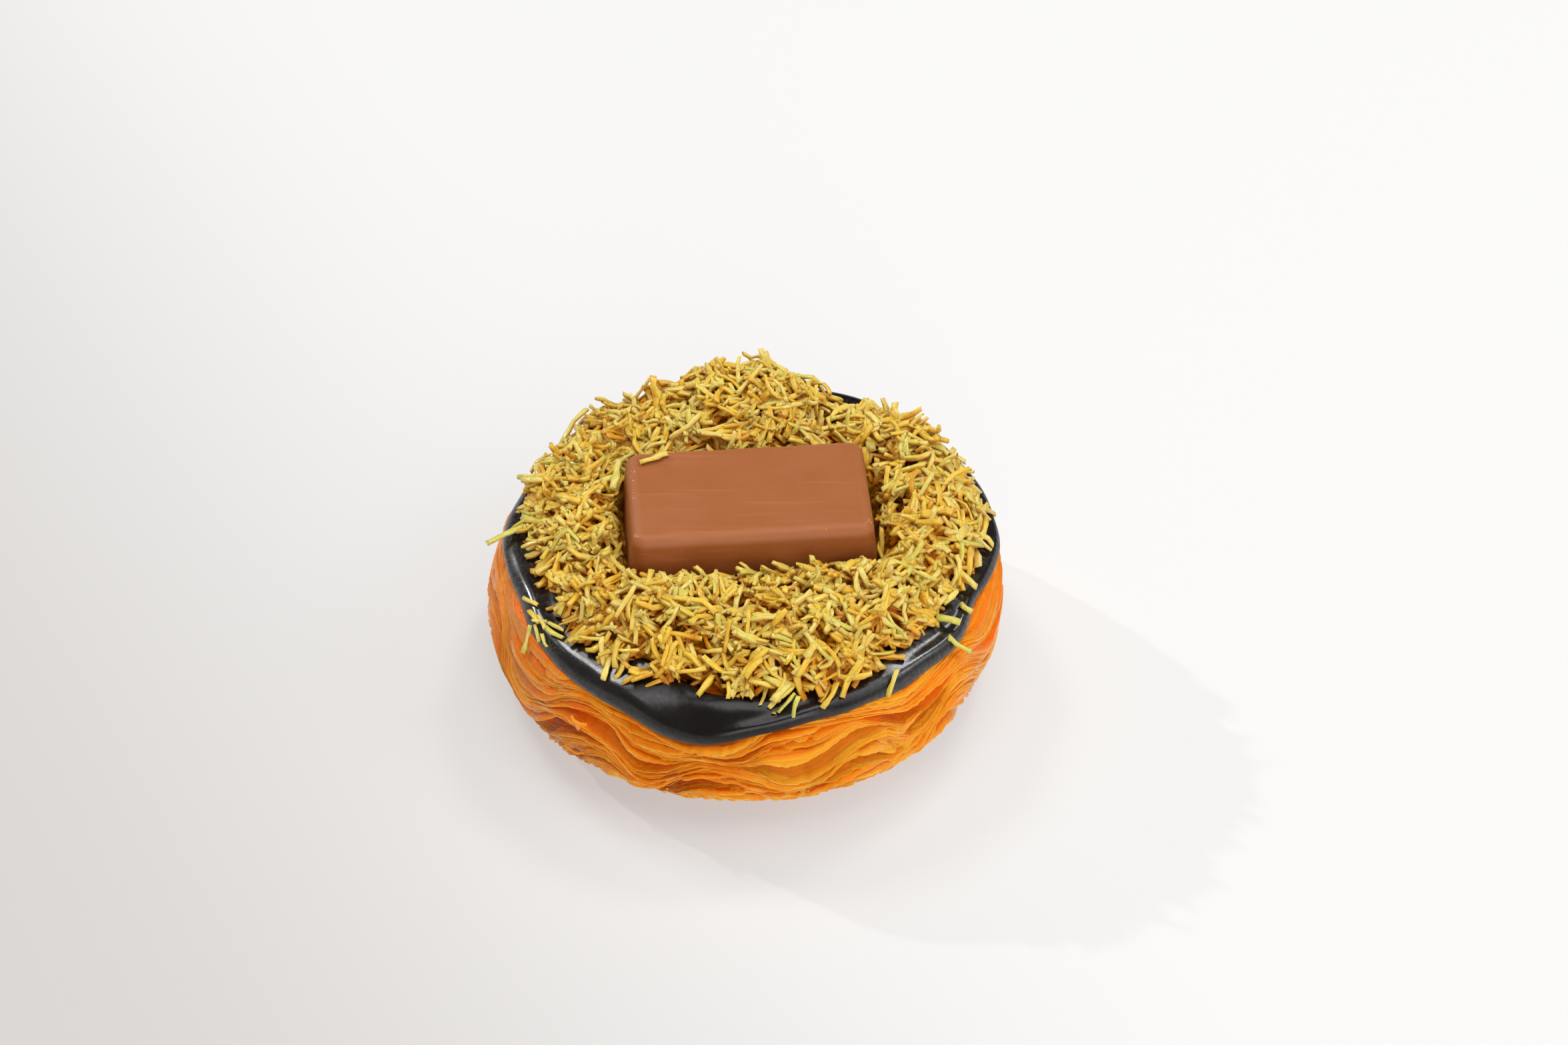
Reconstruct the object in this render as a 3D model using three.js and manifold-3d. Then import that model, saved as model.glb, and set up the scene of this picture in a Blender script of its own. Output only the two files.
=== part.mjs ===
// A round flaky pastry tart: laminated pastry, a ring of dark chocolate glaze over its top edge,
// a heap of chopped kataifi shreds inside the ring and a milk chocolate bar pressed into the heap.
// Millimetres, +Z up, origin at the centre of the flat base. The bar's long side is near X.
import * as THREE from 'three';
import { mergeVertices } from 'three/addons/utils/BufferGeometryUtils.js';
import Module from 'manifold-3d';

// Driving dimensions
const pastryRadius = 49.4; // at its widest level, under the leaves' lips
const pastryHeight = 30; // base to the flat top
const widestHeight = 14.5; // level where the side bulges most
const baseRadius = 39; // the flat spot that it stands on
const topShift = new THREE.Vector2(1.5, -2); // the top sits off centre, towards the front right
const shoulderPower = 24; // higher is a squarer top edge
const sidePower = 2.4;
const basePower = 2.2;

const layerBundles = 8; // bundles of thin leaves that read as steps in the side
const leafProud = 0.75; // how far a bundle's lip stands out
const leafGap = 1.7; // how deep the gap between two bundles goes
const segmentsRound = 60; // facets round the pastry and the glaze

const glazeThickness = 2.3;
const airGap = 0.45; // clearance between two pieces that touch

const barLength = 47.4;
const barWidth = 28;
const barHeight = 11.6;
const barDraft = 1.1; // each side leans in by this much from foot to top
const barCorner = 3.6;
const barFillet = 2.4;
const barTurn = THREE.MathUtils.degToRad(4.8);
const barCentre = new THREE.Vector2(1.3, -0.9);

const heapFloor = pastryHeight + airGap;
const barSeat = heapFloor + 1.3; // the bar's flat underside
const heapCrest = 9.6; // crest of the heap above its floor
const heapBeside = 5.2; // height of the heap where it meets the bar
// radius of the heap's foot in every 20 degrees, from +X anticlockwise
const heapRim = [47, 46.5, 45.3, 45.3, 46.3, 43.6, 41.6, 41.6, 42.6, 42.6, 41.4, 43, 44.3, 43.6, 47, 47, 46.3, 46.8];
const coreShrink = 0.7; // the core lies this much under the shreds' tops
const shredWidth = 1.15;
const shredShort = 4;
const shredLong = 9.5;
const shredTries = 325; // places tried, evenly spread; the bar takes a good share of them
const shredSeed = 18;

const turn = 2 * Math.PI;

// Mulberry32: a small seeded random source
function randomSource(seed) {
  let state = seed >>> 0;
  return () => {
    state = (state + 0x6d2b79f5) >>> 0;
    let mixed = Math.imul(state ^ (state >>> 15), 1 | state);
    mixed = (mixed + Math.imul(mixed ^ (mixed >>> 7), 61 | mixed)) ^ mixed;
    return ((mixed ^ (mixed >>> 14)) >>> 0) / 4294967296;
  };
}

// A smooth bump of height 1 round one direction, given in degrees
function bump(angle, centreDeg, widthDeg) {
  const away = THREE.MathUtils.radToDeg(angle) - centreDeg;
  const wrapped = ((((away + 180) % 360) + 360) % 360) - 180;
  return Math.exp(-((wrapped / widthDeg) ** 2));
}

// A value that changes smoothly with direction through equally spaced values, from +X anticlockwise
function around(values, angle) {
  const place = (((angle / turn) % 1) + 1) % 1 * values.length;
  const first = Math.floor(place);
  const blend = THREE.MathUtils.smoothstep(place - first, 0, 1);
  return THREE.MathUtils.lerp(values[first % values.length], values[(first + 1) % values.length], blend);
}

// Moves the upper part of the tart sideways, all of it at the top and none below the widest level
function leanOut(point) {
  const share = THREE.MathUtils.smoothstep(point.z, widestHeight - 4, pastryHeight - 2);
  return point.add(new THREE.Vector3(topShift.x * share, topShift.y * share, 0));
}

// The pastry's upper profile, from the centre of the top out to the widest level
class UpperProfile extends THREE.Curve {
  getPoint(t, target = new THREE.Vector3()) {
    const a = (1 - t) * Math.PI / 2;
    const radius = pastryRadius * Math.cos(a) ** (2 / shoulderPower);
    const rise = (pastryHeight - widestHeight) * Math.sin(a) ** (2 / sidePower);
    return t === 0 ? target.set(0, 0, pastryHeight) : target.set(radius, 0, widestHeight + rise);
  }
}

// The profile again by distance along it, as evenly spaced samples
function measuredProfile() {
  const curve = new UpperProfile();
  const samples = 4000;
  const points = [];
  for (let i = 0; i <= samples; i++) points.push(curve.getPoint((i / samples) ** 3));
  const lengths = [0];
  for (let i = 1; i <= samples; i++) lengths.push(lengths[i - 1] + points[i].distanceTo(points[i - 1]));
  return { points, lengths };
}

const upper = measuredProfile();
const upperLength = upper.lengths.at(-1);
const shoulder = 45.8; // distance at which the top turns down into the side

// Point of the upper profile at a distance from the centre, as radius and height
function upperAt(distance) {
  const d = THREE.MathUtils.clamp(distance, 0, upperLength);
  let low = 0;
  let high = upper.lengths.length - 1;
  while (high - low > 1) {
    const middle = (low + high) >> 1;
    if (upper.lengths[middle] <= d) low = middle;
    else high = middle;
  }
  const share = (d - upper.lengths[low]) / Math.max(1e-9, upper.lengths[high] - upper.lengths[low]);
  const at = upper.points[low].clone().lerp(upper.points[high], share);
  return new THREE.Vector2(at.x, at.z);
}

// Outward normal of the upper profile there
function upperNormal(distance) {
  const step = 0.6;
  const along = upperAt(distance + step).sub(upperAt(distance - step)).normalize();
  return new THREE.Vector2(-along.y, along.x);
}

// The side's profile below the widest level
function lowerRadius(z) {
  return pastryRadius - (pastryRadius - baseRadius) * ((widestHeight - z) / widestHeight) ** basePower;
}

// Where the glaze ends, as distances along the upper profile: it runs down over the front edge
function glazeOuter(angle) {
  const run = 3.9 * bump(angle, -102, 15) + 1.2 * bump(angle, -128, 11);
  const notches = 1.4 * bump(angle, -17, 12) + 0.6 * bump(angle, -161, 12) + 0.7 * bump(angle, 150, 25);
  return 47 + run - notches + 0.25 * Math.sin(3 * angle + 0.6) + 0.2 * Math.sin(8 * angle + 2.1);
}
function glazeInner(angle) {
  const width = 2.8 * bump(angle, -165, 55) - 2.2 * bump(angle, 0, 50) - 1.8 * bump(angle, -92, 25);
  return 38.4 - width + 0.5 * Math.sin(4 * angle + 1.2) + 0.35 * Math.sin(9 * angle);
}

// How far the leaves' lines swing up and down, as a share of the side
function layerSwing(angle, share) {
  const free = Math.sin(Math.PI * share);
  const slow = 0.055 * Math.sin(2 * angle + 1.1) + 0.035 * Math.sin(3 * angle + 4 * share + 0.4);
  return free * (slow + 0.025 * Math.sin(5 * angle + 6 * share + 2.2));
}

// How strongly a bundle stands out in one direction, from 0 to 1
function layerStrength(angle, bundle) {
  const wave = Math.sin(angle * 3 + bundle * 2.4) + 0.8 * Math.sin(angle * 5 - bundle * 1.7 + 1);
  return THREE.MathUtils.clamp(0.5 + 0.3 * wave, 0, 1);
}

// The wide pockets between leaves at the front
function pocketDepth(angle, share) {
  const right = bump(angle, -72, 13) * Math.exp(-(((share - 0.42) / 0.12) ** 2));
  const left = bump(angle, -105, 12) * Math.exp(-(((share - 0.3) / 0.08) ** 2));
  return 2.2 * right + 1.6 * left;
}

// Radius and height on the side at a share of the way from base to the top edge
function sideAt(share) {
  const height = 27.2 * share; // the side's leaves end just under the top edge
  if (height < widestHeight) return new THREE.Vector2(lowerRadius(height), height);
  const rise = (height - widestHeight) / (pastryHeight - widestHeight);
  return new THREE.Vector2(pastryRadius * (1 - rise ** sidePower) ** (1 / shoulderPower), height);
}

// One point of the pastry's skin: row counts up the side, three rows to a bundle
function pastrySidePoint(row, rows, angle) {
  const share = row / rows;
  const swung = THREE.MathUtils.clamp(share + layerSwing(angle, share), 0, 1);
  const at = sideAt(swung);
  const bundle = Math.floor(row / 3);
  const strength = layerStrength(angle, bundle);
  const gap = -leafGap * (0.35 + 0.65 * layerStrength(angle + 0.5, bundle + 3));
  const offset = [gap, leafProud * strength, leafProud * 0.6 * strength][row % 3];
  const sideEnd = 1 - Math.exp(-(((1 - share) / 0.12) ** 2)); // calm under the glaze
  const foot = row === 0 ? 0.7 * Math.sin(9 * angle) + 0.5 * Math.sin(14 * angle + 1) : 0;
  const glazeFree = THREE.MathUtils.smoothstep(glazeRunHeight(angle) - at.y, -1, 3);
  const relief = offset > 0 ? offset * glazeFree : offset;
  const radius = at.x + (relief - pocketDepth(angle, share)) * sideEnd + foot;
  return leanOut(new THREE.Vector3(radius * Math.cos(angle), radius * Math.sin(angle), at.y));
}

// Height of the glaze's lower edge in one direction
function glazeRunHeight(angle) {
  return upperAt(glazeOuter(angle)).y;
}

// A closed solid from rings of points, lowest first, capped at both ends by a centre point
function solidFromRings(rings, firstCentre, lastCentre) {
  const count = rings[0].length;
  const positions = [...rings.flat(), firstCentre, lastCentre].flatMap((p) => p.toArray());
  const first = rings.length * count;
  const faces = [];
  rings.forEach((ring, level) => {
    for (let i = 0; i < count; i++) {
      const j = (i + 1) % count;
      const a = level * count + i;
      const b = level * count + j;
      if (level === 0) faces.push(first, b, a);
      if (level === rings.length - 1) faces.push(first + 1, a, b);
      else if ((i + level) % 2) faces.push(a, b, a + count, b, b + count, a + count);
      else faces.push(a, b, b + count, a, b + count, a + count);
    }
  });
  const geometry = new THREE.BufferGeometry();
  geometry.setAttribute('position', new THREE.Float32BufferAttribute(positions, 3));
  geometry.setIndex(faces);
  return geometry;
}

function pastryGeometry() {
  const rows = layerBundles * 3;
  const angles = Array.from({ length: segmentsRound }, (_, i) => (i / segmentsRound) * turn);
  const rings = [];
  for (let row = 0; row <= rows; row++) rings.push(angles.map((a) => pastrySidePoint(row, rows, a)));
  for (const distance of [47.6, 45.5, 40, 30]) {
    rings.push(angles.map((a) => {
      const at = upperAt(distance);
      const dip = distance < 41 ? 0.35 + 0.35 * Math.sin(5 * a + distance) : 0; // curled leaves inside the glaze
      return leanOut(new THREE.Vector3(at.x * Math.cos(a), at.x * Math.sin(a), at.y - dip));
    }));
  }
  return solidFromRings(rings, new THREE.Vector3(0, 0, 0), new THREE.Vector3(0, 0, pastryHeight - 0.4));
}

// The glaze's section at one angle: a band that follows the pastry's edge, round at both ends
function glazeSection(angle, grow) {
  const inner = glazeInner(angle) - grow;
  const outer = glazeOuter(angle) + grow;
  const thick = glazeThickness + 0.25 * Math.sin(5 * angle + 1);
  const across = (share) => inner + (shoulder - inner) * share;
  const down = (share) => shoulder + (outer - shoulder) * share;
  const place = (distance, height) => {
    return upperAt(distance).add(upperNormal(distance).multiplyScalar(height));
  };
  const top = [
    [across(0), 0.4], [across(0.14), 0.8], [across(0.5), 0.97], [across(0.9), 1],
    [down(0.3), 1], [down(0.7), 0.95], [down(1), 0.55],
  ];
  const under = [
    [down(1), 0], [down(0.55), 0.1], [down(0.22), 0.25], [down(-0.1), 0.25],
    [across(0.82), 0.1], [across(0), 0],
  ];
  return [
    ...top.map(([distance, fullness]) => place(distance, airGap + (thick - airGap) * fullness + grow)),
    ...under.map(([distance, lift]) => place(distance, airGap + lift - grow)),
  ];
}

// A closed ring swept round the Z axis from a section at each angle
function ringGeometry(sectionAt, segments) {
  const sections = Array.from({ length: segments }, (_, i) => sectionAt((i / segments) * turn));
  const size = sections[0].length;
  const positions = sections.flatMap((section, i) => {
    const angle = (i / segments) * turn;
    return section.flatMap((p) => {
      return leanOut(new THREE.Vector3(p.x * Math.cos(angle), p.x * Math.sin(angle), p.y)).toArray();
    });
  });
  const faces = [];
  for (let i = 0; i < segments; i++) {
    for (let k = 0; k < size; k++) {
      const a = i * size + k;
      const b = i * size + ((k + 1) % size);
      const c = ((i + 1) % segments) * size + k;
      const d = ((i + 1) % segments) * size + ((k + 1) % size);
      faces.push(a, b, c, b, d, c);
    }
  }
  const geometry = new THREE.BufferGeometry();
  geometry.setAttribute('position', new THREE.Float32BufferAttribute(positions, 3));
  geometry.setIndex(faces);
  return geometry;
}

// The bar: a moulded block with leaning sides, round top edges and a flat, sharp-edged foot
function barGeometry(grow = 0) {
  const halfX = barLength / 2 - barDraft - barFillet;
  const halfY = barWidth / 2 - barDraft - barFillet;
  const corner = barCorner - barFillet;
  const outline = new THREE.Shape();
  outline.absarc(halfX - corner, halfY - corner, corner, 0, Math.PI / 2);
  outline.absarc(-halfX + corner, halfY - corner, corner, Math.PI / 2, Math.PI);
  outline.absarc(-halfX + corner, -halfY + corner, corner, Math.PI, 1.5 * Math.PI);
  outline.absarc(halfX - corner, -halfY + corner, corner, 1.5 * Math.PI, turn);
  const block = new THREE.ExtrudeGeometry(outline, {
    depth: barHeight,
    curveSegments: 4,
    bevelThickness: barFillet,
    bevelSize: barFillet + grow,
    bevelSegments: 4,
  });
  block.translate(0, 0, -barFillet); // its straight part now ends a fillet under the top
  const place = block.getAttribute('position');
  for (let i = 0; i < place.count; i++) {
    const lean = barDraft * (1 - THREE.MathUtils.clamp(place.getZ(i) / barHeight, 0, 1));
    place.setX(i, place.getX(i) + lean * Math.sign(place.getX(i)));
    place.setY(i, place.getY(i) + lean * Math.sign(place.getY(i)));
  }
  const cutter = new THREE.BoxGeometry(2 * barLength, 2 * barWidth, 2 * barHeight);
  cutter.translate(0, 0, -barHeight - grow);
  return geometryOf(solidOf(block).subtract(solidOf(cutter)));
}

function placeBar(geometry) {
  return geometry.clone().rotateZ(barTurn).translate(barCentre.x, barCentre.y, barSeat);
}

// Distance from a point to the bar's foot outline, negative inside it
function barDistance(x, y) {
  const p = new THREE.Vector2(x, y).sub(barCentre).rotateAround(new THREE.Vector2(), -barTurn);
  const dx = Math.abs(p.x) - (barLength / 2 - barCorner);
  const dy = Math.abs(p.y) - (barWidth / 2 - barCorner);
  const outside = Math.hypot(Math.max(dx, 0), Math.max(dy, 0));
  return outside + Math.min(Math.max(dx, dy), 0) - barCorner;
}

// Radius of the heap's foot in one direction
function heapRimAt(angle) {
  return around(heapRim, angle) + 0.4 * Math.sin(11 * angle + 2);
}

// Height of the heap's crest in one direction: higher at the back, lower at the back left
function crestAt(angle) {
  return heapCrest + 1.4 * bump(angle, 85, 20) - 1.8 * bump(angle, 140, 28);
}

// Height of the heap's top over its floor
function heapHeight(x, y) {
  const angle = Math.atan2(y, x);
  const fromRim = heapRimAt(angle) - Math.hypot(x, y);
  const fromBar = Math.max(barDistance(x, y), 0);
  const outside = Math.sqrt(THREE.MathUtils.clamp(fromRim / 9, 0, 1));
  const beside = THREE.MathUtils.smoothstep(fromBar, 0, 8);
  const crest = heapBeside + (crestAt(angle) - heapBeside) * beside;
  const lumps = 0.8 * Math.sin(0.55 * x + 1.3) * Math.sin(0.6 * y + 0.4) + 0.45 * Math.sin(1.1 * x - 0.9 * y);
  return (crest + lumps) * outside;
}

// merged, closed three.js geometry to a manifold solid and back
const wasm = await Module();
wasm.setup();
function solidOf(source) {
  const geometry = source.index ? source.toNonIndexed() : source.clone();
  for (const name of Object.keys(geometry.attributes)) {
    if (name !== 'position') geometry.deleteAttribute(name);
  }
  const merged = mergeVertices(geometry, 1e-4);
  return new wasm.Manifold(new wasm.Mesh({
    numProp: 3,
    vertProperties: merged.getAttribute('position').array,
    triVerts: new Uint32Array(merged.index.array),
  }));
}
function geometryOf(solid) {
  const mesh = solid.getMesh();
  const geometry = new THREE.BufferGeometry();
  geometry.setAttribute('position', new THREE.BufferAttribute(Float32Array.from(mesh.vertProperties), 3));
  geometry.setIndex(new THREE.BufferAttribute(Uint32Array.from(mesh.triVerts), 1));
  return geometry;
}

// The heap's bare core: a mound with bumps of the shreds' size
function heapCore() {
  const segments = 44;
  const radii = [1, 0.95, 0.88, 0.8, 0.72, 0.64, 0.56, 0.46, 0.34, 0.2];
  const angles = Array.from({ length: segments }, (_, i) => (i / segments) * turn);
  const point = (angle, share, lift) => {
    const radius = heapRimAt(angle) * share;
    const [x, y] = [radius * Math.cos(angle), radius * Math.sin(angle)];
    return new THREE.Vector3(x, y, heapFloor + lift(x, y));
  };
  const roof = (x, y) => {
    const grain = 0.4 * Math.sin(2.9 * x + 1.7 * y) * Math.sin(2.3 * y - 1.1 * x);
    return Math.max(0.25, heapHeight(x, y) - coreShrink + grain);
  };
  const rings = [
    angles.map((a) => point(a, 0.9, () => 0)),
    angles.map((a) => point(a, 0.985, () => 0)),
    ...radii.map((share) => angles.map((a) => point(a, share * 0.97, roof))),
  ];
  const middle = new THREE.Vector3(0, 0, heapFloor + heapCrest - coreShrink);
  return solidFromRings(rings, new THREE.Vector3(0, 0, heapFloor), middle);
}

// One shred: a short four-sided strip, a little bent, lying along X with its middle at the origin
function shredGeometry(length, parts, bend) {
  const strip = new THREE.BoxGeometry(length, shredWidth, shredWidth * 0.9, parts, 1, 1);
  const place = strip.getAttribute('position');
  for (let i = 0; i < place.count; i++) {
    const along = (2 * place.getX(i)) / length;
    place.setY(i, place.getY(i) + bend * (1 - along * along));
  }
  return strip;
}

// Height of the ground that the shreds lie on: the core or, past its foot, the glaze
function groundAt(x, y) {
  const core = heapFloor + heapHeight(x, y) - coreShrink;
  return Math.max(core, pastryHeight + glazeThickness + airGap);
}

// Shreds spread evenly over the mound by the golden angle, each at its own tilt, none in the bar
function heapShreds() {
  const random = randomSource(shredSeed);
  const golden = Math.PI * (3 - Math.sqrt(5));
  const shreds = [];
  for (let i = 0; i < shredTries; i++) {
    const angle = i * golden;
    const radius = heapRimAt(angle) * Math.sqrt(0.04 + (0.96 * (i + 0.5)) / shredTries);
    const [x, y] = [radius * Math.cos(angle), radius * Math.sin(angle)];
    const length = shredShort + (shredLong - shredShort) * random() ** 1.6;
    const heading = random() * turn;
    const tilt = (random() - 0.4) * 0.9;
    const bend = (random() - 0.5) * 1.6;
    const roll = random() * Math.PI;
    const reach = (length / 2 + 0.5 * shredWidth) * Math.cos(tilt);
    const along = [reach * Math.cos(heading), reach * Math.sin(heading)];
    const spots = [-1, -0.5, 0, 0.5, 1].map((k) => [x + k * along[0], y + k * along[1]]);
    const clearOfBar = spots.every(([px, py]) => barDistance(px, py) > shredWidth);
    const inside = spots.every(([px, py]) => Math.hypot(px, py) < heapRimAt(Math.atan2(py, px)) + 1.5);
    if (!clearOfBar || !inside) continue;
    const lift = Math.max(shredWidth * 0.3, Math.abs(Math.sin(tilt)) * length * 0.3);
    const pose = new THREE.Matrix4().compose(
      new THREE.Vector3(x, y, groundAt(x, y) + lift),
      new THREE.Quaternion().setFromEuler(new THREE.Euler(roll, -tilt, heading, 'ZYX')),
      new THREE.Vector3(1, 1, 1),
    );
    shreds.push(shredGeometry(length, length > 6 ? 2 : 1, bend).applyMatrix4(pose));
  }
  return shreds;
}

// The heap: its core and shreds joined, cut clear of the bar, the glaze and the pastry
function kataifiGeometry() {
  const joined = wasm.Manifold.union([heapCore(), ...heapShreds()].map(solidOf));
  const below = new THREE.BoxGeometry(200, 200, 40).translate(0, 0, heapFloor - 20);
  const grownGlaze = solidOf(ringGeometry((angle) => glazeSection(angle, airGap), segmentsRound));
  const cut = joined
    .subtract(solidOf(placeBar(barGeometry(airGap))))
    .subtract(grownGlaze)
    .subtract(solidOf(below));
  const pieces = cut.decompose().sort((a, b) => b.volume() - a.volume());
  return geometryOf(pieces[0].asOriginal().simplify(0.06)); // drops slivers left by the joins
}

function material(color, roughness) {
  return new THREE.MeshStandardMaterial({ color, roughness, metalness: 0 });
}

function named(name, geometry, look) {
  const mesh = new THREE.Mesh(geometry, look);
  mesh.name = name;
  return mesh;
}

const tart = new THREE.Group();
tart.add(named('flaky_pastry', pastryGeometry(), material(0xd58233, 0.55)));
const glazeRing = ringGeometry((angle) => glazeSection(angle, 0), segmentsRound);
tart.add(named('dark_chocolate_glaze', glazeRing, material(0x1c1817, 0.35)));
tart.add(named('kataifi_shreds', kataifiGeometry(), material(0xbe9a3c, 0.6)));
const bar = named('milk_chocolate_bar', barGeometry(), material(0xac6941, 0.4));
bar.position.set(barCentre.x, barCentre.y, barSeat);
bar.rotation.z = barTurn;
tart.add(bar);

// The origin goes to the bottom centre of the whole tart's box
const box = new THREE.Box3().setFromObject(tart, true);
const centre = box.getCenter(new THREE.Vector3());
tart.position.set(-centre.x, -centre.y, -box.min.z);

export default tart;
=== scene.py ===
import math

import bpy
import numpy as np
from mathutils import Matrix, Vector


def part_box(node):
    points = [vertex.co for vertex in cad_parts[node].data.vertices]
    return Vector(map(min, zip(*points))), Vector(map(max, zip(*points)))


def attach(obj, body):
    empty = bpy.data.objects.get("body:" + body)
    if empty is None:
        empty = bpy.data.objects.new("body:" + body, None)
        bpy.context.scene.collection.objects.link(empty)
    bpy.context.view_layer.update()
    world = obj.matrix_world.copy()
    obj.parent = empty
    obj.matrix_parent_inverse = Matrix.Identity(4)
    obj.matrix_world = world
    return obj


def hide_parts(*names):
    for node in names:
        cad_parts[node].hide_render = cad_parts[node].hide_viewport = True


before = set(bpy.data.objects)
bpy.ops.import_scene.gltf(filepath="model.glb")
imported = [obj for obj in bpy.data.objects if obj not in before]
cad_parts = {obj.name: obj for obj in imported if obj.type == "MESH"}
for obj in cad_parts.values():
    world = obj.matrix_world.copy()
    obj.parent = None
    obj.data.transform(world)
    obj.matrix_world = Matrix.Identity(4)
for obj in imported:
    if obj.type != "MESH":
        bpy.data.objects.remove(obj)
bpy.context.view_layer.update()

# Shapes are worked out in millimetres, as in the part's source, and go to metres in buildMesh.
turn = 2 * math.pi


def srgb(red, green, blue):
    # a colour as read off a screen, 0 to 255, to the linear values that shaders take
    def linear(value):
        value = value / 255
        return value / 12.92 if value <= 0.04045 else ((value + 0.055) / 1.055) ** 2.4

    return (linear(red), linear(green), linear(blue), 1.0)


def smoothstep(value, low, high):
    share = np.clip((np.asarray(value, float) - low) / (high - low), 0, 1)
    return share * share * (3 - 2 * share)


def directions(count):
    # evenly spaced angles, once round
    return np.linspace(0, turn, count, endpoint=False)


def degreesFrom(angle, direction):
    return (np.degrees(angle) - direction + 180) % 360 - 180


def bump(angle, direction, width):
    # a smooth bump of height 1 round one direction
    return np.exp(-((degreesFrom(angle, direction) / width) ** 2))


def bumps(angle, places):
    # several of them, each as direction, width and height
    return sum(height * bump(angle, direction, width) for direction, width, height in places)


def polar(x, y):
    return np.arctan2(y, x), np.hypot(x, y)


def ringPoints(radius, angle, z):
    # points at a distance from the axis, in a direction, at a height
    return np.stack(np.broadcast_arrays(radius * np.cos(angle), radius * np.sin(angle), z), axis=-1)


def waves(seed, low, high, count, rough):
    # a smooth random function of direction, about 1 in size, that slides with a second value
    rng = np.random.RandomState(seed)
    counts = rng.randint(low, high + 1, count)
    phases = rng.uniform(0, turn, count)
    rates = rng.normal(0, 1, count)
    sizes = 1 / counts**rough
    sizes = sizes / math.sqrt(0.5 * np.sum(sizes**2))

    def value(angle, second=0.0):
        terms = zip(counts, phases, rates, sizes)
        return sum(size * np.sin(k * angle + rate * second + phase) for k, phase, rate, size in terms)

    return value


def buildMesh(name, points, faces, material, values, node=None):
    # one piece that rides on the tart; values gives its attributes, as one number or one for each point
    mesh = bpy.data.meshes.new(name)
    placed = (np.asarray(points, float) + shift) * 0.001
    mesh.from_pydata(placed.tolist(), [], faces)
    mesh.update()
    for key, value in values.items():
        layer = mesh.attributes.new(key, "FLOAT", "POINT")
        layer.data.foreach_set("value", np.full(len(placed), value, np.float32))
    mesh.polygons.foreach_set("use_smooth", np.ones(len(mesh.polygons), bool))
    mesh.materials.append(material)
    piece = bpy.data.objects.new(name, mesh)
    bpy.context.scene.collection.objects.link(piece)
    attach(piece, "root")
    if node:
        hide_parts(node)
    print(f"{name}: {len(mesh.loops) - 2 * len(mesh.polygons)} triangles")
    return mesh


def gridFaces(rows, columns, closedRows=False, start=0, flip=False):
    # quads over rings of points stored one after another
    i, j = np.meshgrid(np.arange(rows if closedRows else rows - 1), np.arange(columns), indexing="ij")
    here, there, after = i * columns, (i + 1) % rows * columns, (j + 1) % columns
    quads = start + np.stack([here + j, here + after, there + after, there + j], axis=-1).reshape(-1, 4)
    return quads[:, [0, 3, 2, 1]].tolist() if flip else quads.tolist()


def closedFaces(rows, columns):
    # the same between one first and one last point
    last = 1 + rows * columns
    first = [[0, 1 + (j + 1) % columns, 1 + j] for j in range(columns)]
    closing = [[last, last - columns + j, last - columns + (j + 1) % columns] for j in range(columns)]
    return first + gridFaces(rows, columns, start=1) + closing


class Value:
    # a shader value that takes part in ordinary arithmetic
    def __init__(self, graph, socket):
        self.graph = graph
        self.socket = socket

    def math(self, operation, *others):
        return self.graph.value("Math", dict(enumerate((self, *others))), operation=operation)

    def __add__(self, other):
        return self.math("ADD", other)

    def __mul__(self, other):
        return self.math("MULTIPLY", other)

    def __sub__(self, other):
        return self.math("SUBTRACT", other)

    def __rsub__(self, other):
        return self.math("MULTIPLY_ADD", -1.0, other)

    __radd__ = __add__
    __rmul__ = __mul__

    def between(self, low, high):
        inputs = {"Value": self, "From Min": low, "From Max": high}
        return self.graph.value("MapRange", inputs, interpolation_type="SMOOTHSTEP")


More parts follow.
